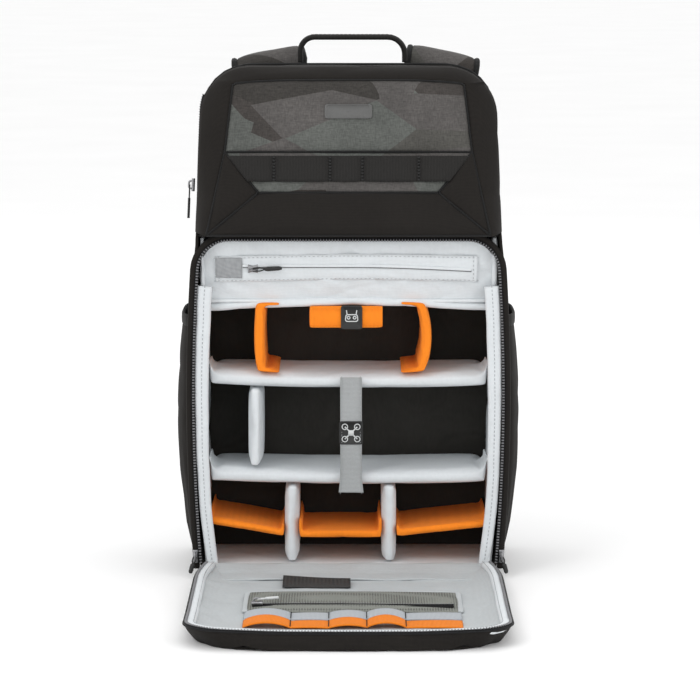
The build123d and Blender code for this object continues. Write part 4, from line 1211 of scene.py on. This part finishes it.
def sternum_strap():
    low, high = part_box("sternum_webbing")
    y, z = (low.y + high.y) / 2, (low.z + high.z) / 2
    parts = []
    for side in (-1, 1):
        reach = np.linspace(0.0165, 0.0835, 30)
        line = np.stack([strap_middle_x + side * reach, y + 0.0012 * np.sin((reach - 0.0165) * 90),
                         np.full_like(reach, z)], axis=1)
        parts.append(tube(line, oval(0.0016, 0.0195, 10, 6), Z))
    piece("sternum_webbing_band", joined(*parts), black_webbing, "sternum_strap",
          ("sternum_webbing",))
    for node in ("sternum_buckle_male", "sternum_buckle_female"):
        buckle = cad_copy(node, buckle_plastic, "sternum_strap", f"{node}_shell")
        modified(buckle, "BEVEL", width=0.0011, segments=3)


# ---------------------------------------------------------------- door
door_near_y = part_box("main_zip_door")[0].y
door_half = 0.141
door_far_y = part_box("door_panel")[1].y
rim_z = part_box("main_zip_door")[1].z
door_corner = 0.030
lining_inset, lining_corner = 0.0095, door_corner - 0.004


def drawn_in(path):
    """Door edge points drawn in towards the hinge, and bowed out a little at the near edge."""
    path = np.array(path, float)
    near_hinge = np.clip((path[:, 1] - door_far_y + 0.075) / 0.075, 0, 1)
    path[:, 0] -= np.sign(path[:, 0]) * 0.0065 * near_hinge ** 2
    bow = 0.004 * (1 - (path[:, 0] / door_half) ** 2) \
        * np.clip((door_near_y + 0.03 - path[:, 1]) / 0.03, 0, 1)
    path[:, 1] -= bow
    return path


def door_path(inset, step=0.004):
    """The door's edge on the floor, from its left hinge end round the near edge to the right."""
    half, near, corner = door_half - inset, door_near_y + inset, door_corner - inset * 0.6
    path = rounded([(-half, door_far_y), (-half, near), (half, near), (half, door_far_y)],
                   [0, corner, corner, 0], step)
    return drawn_in(path)


def door_lift(path):
    """The near edge's corners stand a little higher than the rest of the rim."""
    near = np.clip((door_near_y + 0.08 - path[:, 1]) / 0.08, 0, 1)
    out = np.clip((np.abs(path[:, 0]) - 0.05) / 0.09, 0, 1)
    return 0.0032 * near * out ** 1.5


def door_wall():
    """Outer wall of the door, leaning out, with raised pads and notches along its near foot."""
    rim = door_path(0.0012)
    lift = door_lift(rim)
    rows = []
    for t in np.linspace(0, 1, 12):
        near = np.clip((door_near_y + 0.06 - rim[:, 1]) / 0.05, 0, 1)
        corner = near * np.clip((np.abs(rim[:, 0]) - 0.085) / 0.05, 0, 1)
        inset = 0.0090 * t ** 1.3 + 0.009 * corner * t - 0.0125 * near * (1 - corner) * t
        notch = 0.0035 * near * (np.exp(-((np.abs(rim[:, 0] - 0.006) - 0.092) / 0.011) ** 2))
        inward = np.stack([-np.sign(rim[:, 0]) * np.clip((np.abs(rim[:, 0]) - 0.08) / 0.05, 0, 1),
                           near], axis=1)
        inward = inward / np.maximum(np.linalg.norm(inward, axis=1, keepdims=True), 1e-6)
        flat = rim + inward * inset[:, None]
        z = (0.0148 + lift) * (1 - t) + (0.0006 + notch) * t
        rows.append(np.stack([flat[:, 0], flat[:, 1], z], axis=1))
    wall = piece("door_wall_cloth", lattice(np.array(rows)), shell_cloth, "door", ("door_wall",))
    modified(wall, "SOLIDIFY", thickness=0.002, offset=0)
    wrinkle(wall, 0.0008, (0.03, 0.03, 0.01), seed=2)

    # Front face of the door, which lies underneath while it is open
    foot = np.array(rows[-1])
    ys = np.linspace(door_far_y, foot[:, 1].min(), 50)
    half = np.interp(ys, foot[:len(foot) // 2][::-1, 1], np.abs(foot[:len(foot) // 2][::-1, 0]))
    s = np.linspace(-1, 1, 50)
    grid = np.zeros((len(ys), len(s), 3))
    grid[..., 0] = half[:, None] * s[None]
    grid[..., 1] = ys[:, None]
    ridge = np.abs(np.abs(grid[..., 0]) - 0.05 - 0.14 * (grid[..., 1] - door_near_y))
    grid[..., 2] = 0.0006 + 0.0022 * np.exp(-(ridge / 0.004) ** 2)
    panel = piece("door_front_panel", lattice(grid), shell_cloth, "door", ("door_panel",))
    if normals(panel)[:, 2].mean() > 0:
        panel.data.flip_normals()
    modified(panel, "SOLIDIFY", thickness=0.002, offset=-1)


def door_rim():
    """Grey binding on the door's rim, with the zip outside it."""
    path = door_path(0.0062)
    ring = in_space(path, "xy", rim_z - 0.0036) + Z * door_lift(path)[:, None]
    wave = lumps(ring, 0.02, 4)[:, None] - 0.5
    binding = tube(ring + wave * np.array((0.0008, 0.0008, 0.0004)), oval(0.0088, 0.0068, 14, 2.4), Z)
    piece("door_piping", binding, liner_cloth, "door", ("door_binding",))
    line = door_path(0.0088)
    rows = in_space(line, "xy", rim_z - 0.0006) + Z * door_lift(line)[:, None]
    piece("door_stitching", stitches(rows, Z), stitch_thread, "door")
    path = door_path(0.0018, 0.003)
    ring = in_space(path, "xy", rim_z - 0.0022) + Z * door_lift(path)[:, None]
    zipper(ring, Z, 0.0028, 1, "main_zip_door_side", "door", ("main_zip_door",))


def door_surface(x, y):
    """Height of the door's lining, dished up to the binding at its edges."""
    half, near = door_half - lining_inset, door_near_y + lining_inset
    edge = np.minimum(half - np.abs(x), y - near)
    dx, dy = lining_corner - (half - np.abs(x)), lining_corner - (y - near)
    outside = np.hypot(np.maximum(dx, 0), np.maximum(dy, 0))
    edge = np.where((dx > 0) & (dy > 0), lining_corner - outside, edge)
    rise = np.clip(1 - edge / 0.026, 0, 1)
    return 0.0072 + (rim_z - 0.0108) * rise ** 1.8


def door_lining():
    """The dished, creased lining of the door."""
    ys = np.concatenate([np.linspace(door_near_y + 0.0098, door_near_y + 0.045, 22),
                         np.linspace(door_near_y + 0.05, door_far_y + 0.006, 60)])
    s = np.sin(np.linspace(-1, 1, 90) * math.pi / 2)
    reach = np.clip(lining_corner - (ys - door_near_y - lining_inset), 0, lining_corner)
    halves = door_half - lining_inset - lining_corner + np.sqrt(lining_corner ** 2 - reach ** 2)
    grid = np.zeros((len(ys), len(s), 3))
    grid[..., 0] = halves[:, None] * s[None]
    grid[..., 1] = ys[:, None]
    height = door_surface(grid[..., 0], grid[..., 1])
    flat = grid.reshape(-1, 3)
    fold = lumps(flat * np.array((1, 1, 0)), (0.035, 0.03, 1), 3).reshape(height.shape)
    fine = lumps(flat * np.array((1, 1, 0)), (0.014, 0.02, 1), 9).reshape(height.shape)
    crease = (1 - np.abs(2 * fold - 1)) ** 3
    grid[..., 2] = height + 0.0016 * (fold - 0.5) + 0.0006 * fine - 0.0009 * crease
    lining = piece("door_lining_cloth", lattice(grid), door_cloth, "door", ("door_liner",))
    if normals(lining)[:, 2].mean() < 0:
        lining.data.flip_normals()
    modified(lining, "SOLIDIFY", thickness=0.0012, offset=-1)
    modified(lining, "SUBSURF", levels=1, render_levels=1)

    # The fabric hinge, rolling from the bag's lip down to the lining
    x = np.linspace(-1, 1, 60)
    rows = []
    for y, z in rounded([(-0.0700, 0.0116), (-0.0775, 0.0128), (-0.1010, 0.0082), (-0.125, 0.0078)],
                        [0, 0.002, 0.03, 0], 0.002):
        half = 0.1335 if y > -0.084 else np.interp(-y, [0.084, 0.125], [0.1335, 0.1300])
        rows.append(np.stack([x * half, np.full_like(x, y), z + 0.0004 * np.sin(x * 12 + y * 90)],
                             axis=1))
    strip = piece("door_hinge_cloth", lattice(np.array(rows)), door_cloth, None,
                  ("door_hinge_strip",))
    modified(strip, "SOLIDIFY", thickness=0.0012, offset=0)
    outside = [np.stack([x * 0.1345, np.full_like(x, y), np.full_like(x, z)], axis=1)
               for y, z in rounded([(-0.0700, 0.0040), (-0.0775, 0.0022), (-0.0900, 0.0012)],
                                   [0, 0.004, 0], 0.002)]
    cover = piece("door_hinge_cover", lattice(np.array(outside)), shell_cloth, None)
    modified(cover, "SOLIDIFY", thickness=0.0010, offset=0)
    for cloth_piece in (strip, cover):
        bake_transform(cloth_piece)


def organizer():
    """Mesh pocket with its zip, two elastic bands in loops, and a hook-and-loop strip."""
    low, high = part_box("mesh_pocket")
    y = np.linspace(low.y, high.y, 26)
    x = np.linspace(low.x, high.x, 60)
    grid = np.zeros((len(y), len(x), 3))
    grid[..., 0], grid[..., 1] = x[None], y[:, None]
    across = np.sin(math.pi * (x - low.x) / (high.x - low.x)) ** 0.35
    along = np.sin(math.pi * np.linspace(0.0, 1.0, len(y))) ** 0.5
    lump = lumps(grid.reshape(-1, 3), (0.045, 0.03, 1), 5).reshape(len(y), len(x))
    grid[..., 2] = low.z + 0.0006 + 0.0040 * across[None] * along[:, None] * (0.5 + lump)
    grid[-1, :, 1] += 0.004 * np.sin((x - low.x) * 26)
    mesh = piece("mesh_pocket_net", lattice(grid), olive_mesh, "door", ("mesh_pocket",))
    modified(mesh, "SOLIDIFY", thickness=0.0007, offset=0)
    frame_line = rounded([(low.x, low.y), (low.x, high.y), (high.x, high.y), (high.x, low.y)],
                         [0, 0.006, 0.006, 0], 0.004)
    hem = in_space(frame_line, "xy", low.z + 0.0010)
    piece("mesh_pocket_hem", tube(hem, oval(0.0050, 0.0016, 8, 4), Z), door_cloth, "door")

    low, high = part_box("mesh_pocket_zip")
    x = np.linspace(low.x, high.x, 70)
    y = (low.y + high.y) / 2 + 0.0018 * np.sin((x - low.x) * 30)
    line = np.stack([x, y, np.full_like(x, low.z + 0.0002)], axis=1)
    zipper(line, Z, 0.004, 1, "organizer_zip", "door", ("mesh_pocket_zip",), pitch=0.0022,
           tooth=0.0018)

    tacks = np.array([-0.091, -0.050, -0.017, 0.016, 0.050, 0.099])
    for node, material, name, rise in (
            ("elastic_band_grey", grey_elastic, "organizer_band_grey", 0.0046),
            ("elastic_band_orange", orange_elastic, "organizer_band_orange", 0.0060)):
        low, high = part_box(node)
        x = np.linspace(low.x, high.x, 100)
        nearest = np.searchsorted(tacks, x).clip(1, len(tacks) - 1)
        start, end = tacks[nearest - 1], tacks[nearest]
        arch = np.sin(math.pi * np.clip((x - start) / (end - start), 0, 1)) ** 0.7
        loose = 0.55 + 0.45 * np.sin(nearest * 2.1)
        rows = []
        for t in np.linspace(0, 1, 10):
            z = low.z + 0.0010 + rise * arch * loose * (0.75 + 0.25 * t)
            drift = 0.0012 * np.sin(x * 60 + t)
            rows.append(np.stack([x, low.y + (high.y - low.y) * t + drift, z], axis=1))
        band = piece(name, lattice(np.array(rows)), material, "door", (node,))
        modified(band, "SOLIDIFY", thickness=0.0012, offset=0)
        marks = [stitches(np.array([(k, low.y + 0.002, low.z + 0.0024),
                                    (k, high.y - 0.002, low.z + 0.0024)]), Z, 0.0018, 0.0012, 0.0008)
                 for k in tacks[1:-1]]
        piece(f"{name}_tacks", joined(*marks), dark_thread, "door")

    low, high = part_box("hook_strip")
    x = np.linspace(low.x, high.x, 30)
    across = (x - low.x) / (high.x - low.x)
    rows = [np.stack([x, low.y + 0.006 + (high.y - low.y + 0.020 - 0.012 * across) * t,
                      low.z + 0.0012 + 0.0016 * t + 0.0004 * np.sin(x * 70)], axis=1)
            for t in np.linspace(0, 1, 12)]
    strip = piece("hook_and_loop_strip", lattice(np.array(rows)), air_mesh, "door", ("hook_strip",))
    modified(strip, "SOLIDIFY", thickness=0.0012, offset=0)


outer_shell()
upper_front()
daisy_chain()
front_patch()
main_zip()
rim_binding()
sliders()
liner_walls()
top_lining()
liner_pocket()
queue_pads()
inflate_pads()
drone_strap()
controller_flap_band()
side_pockets()
side_zip()
top_handle()
shoulder_straps()
lower_webbings()
sternum_strap()
door_wall()
door_rim()
door_lining()
organizer()
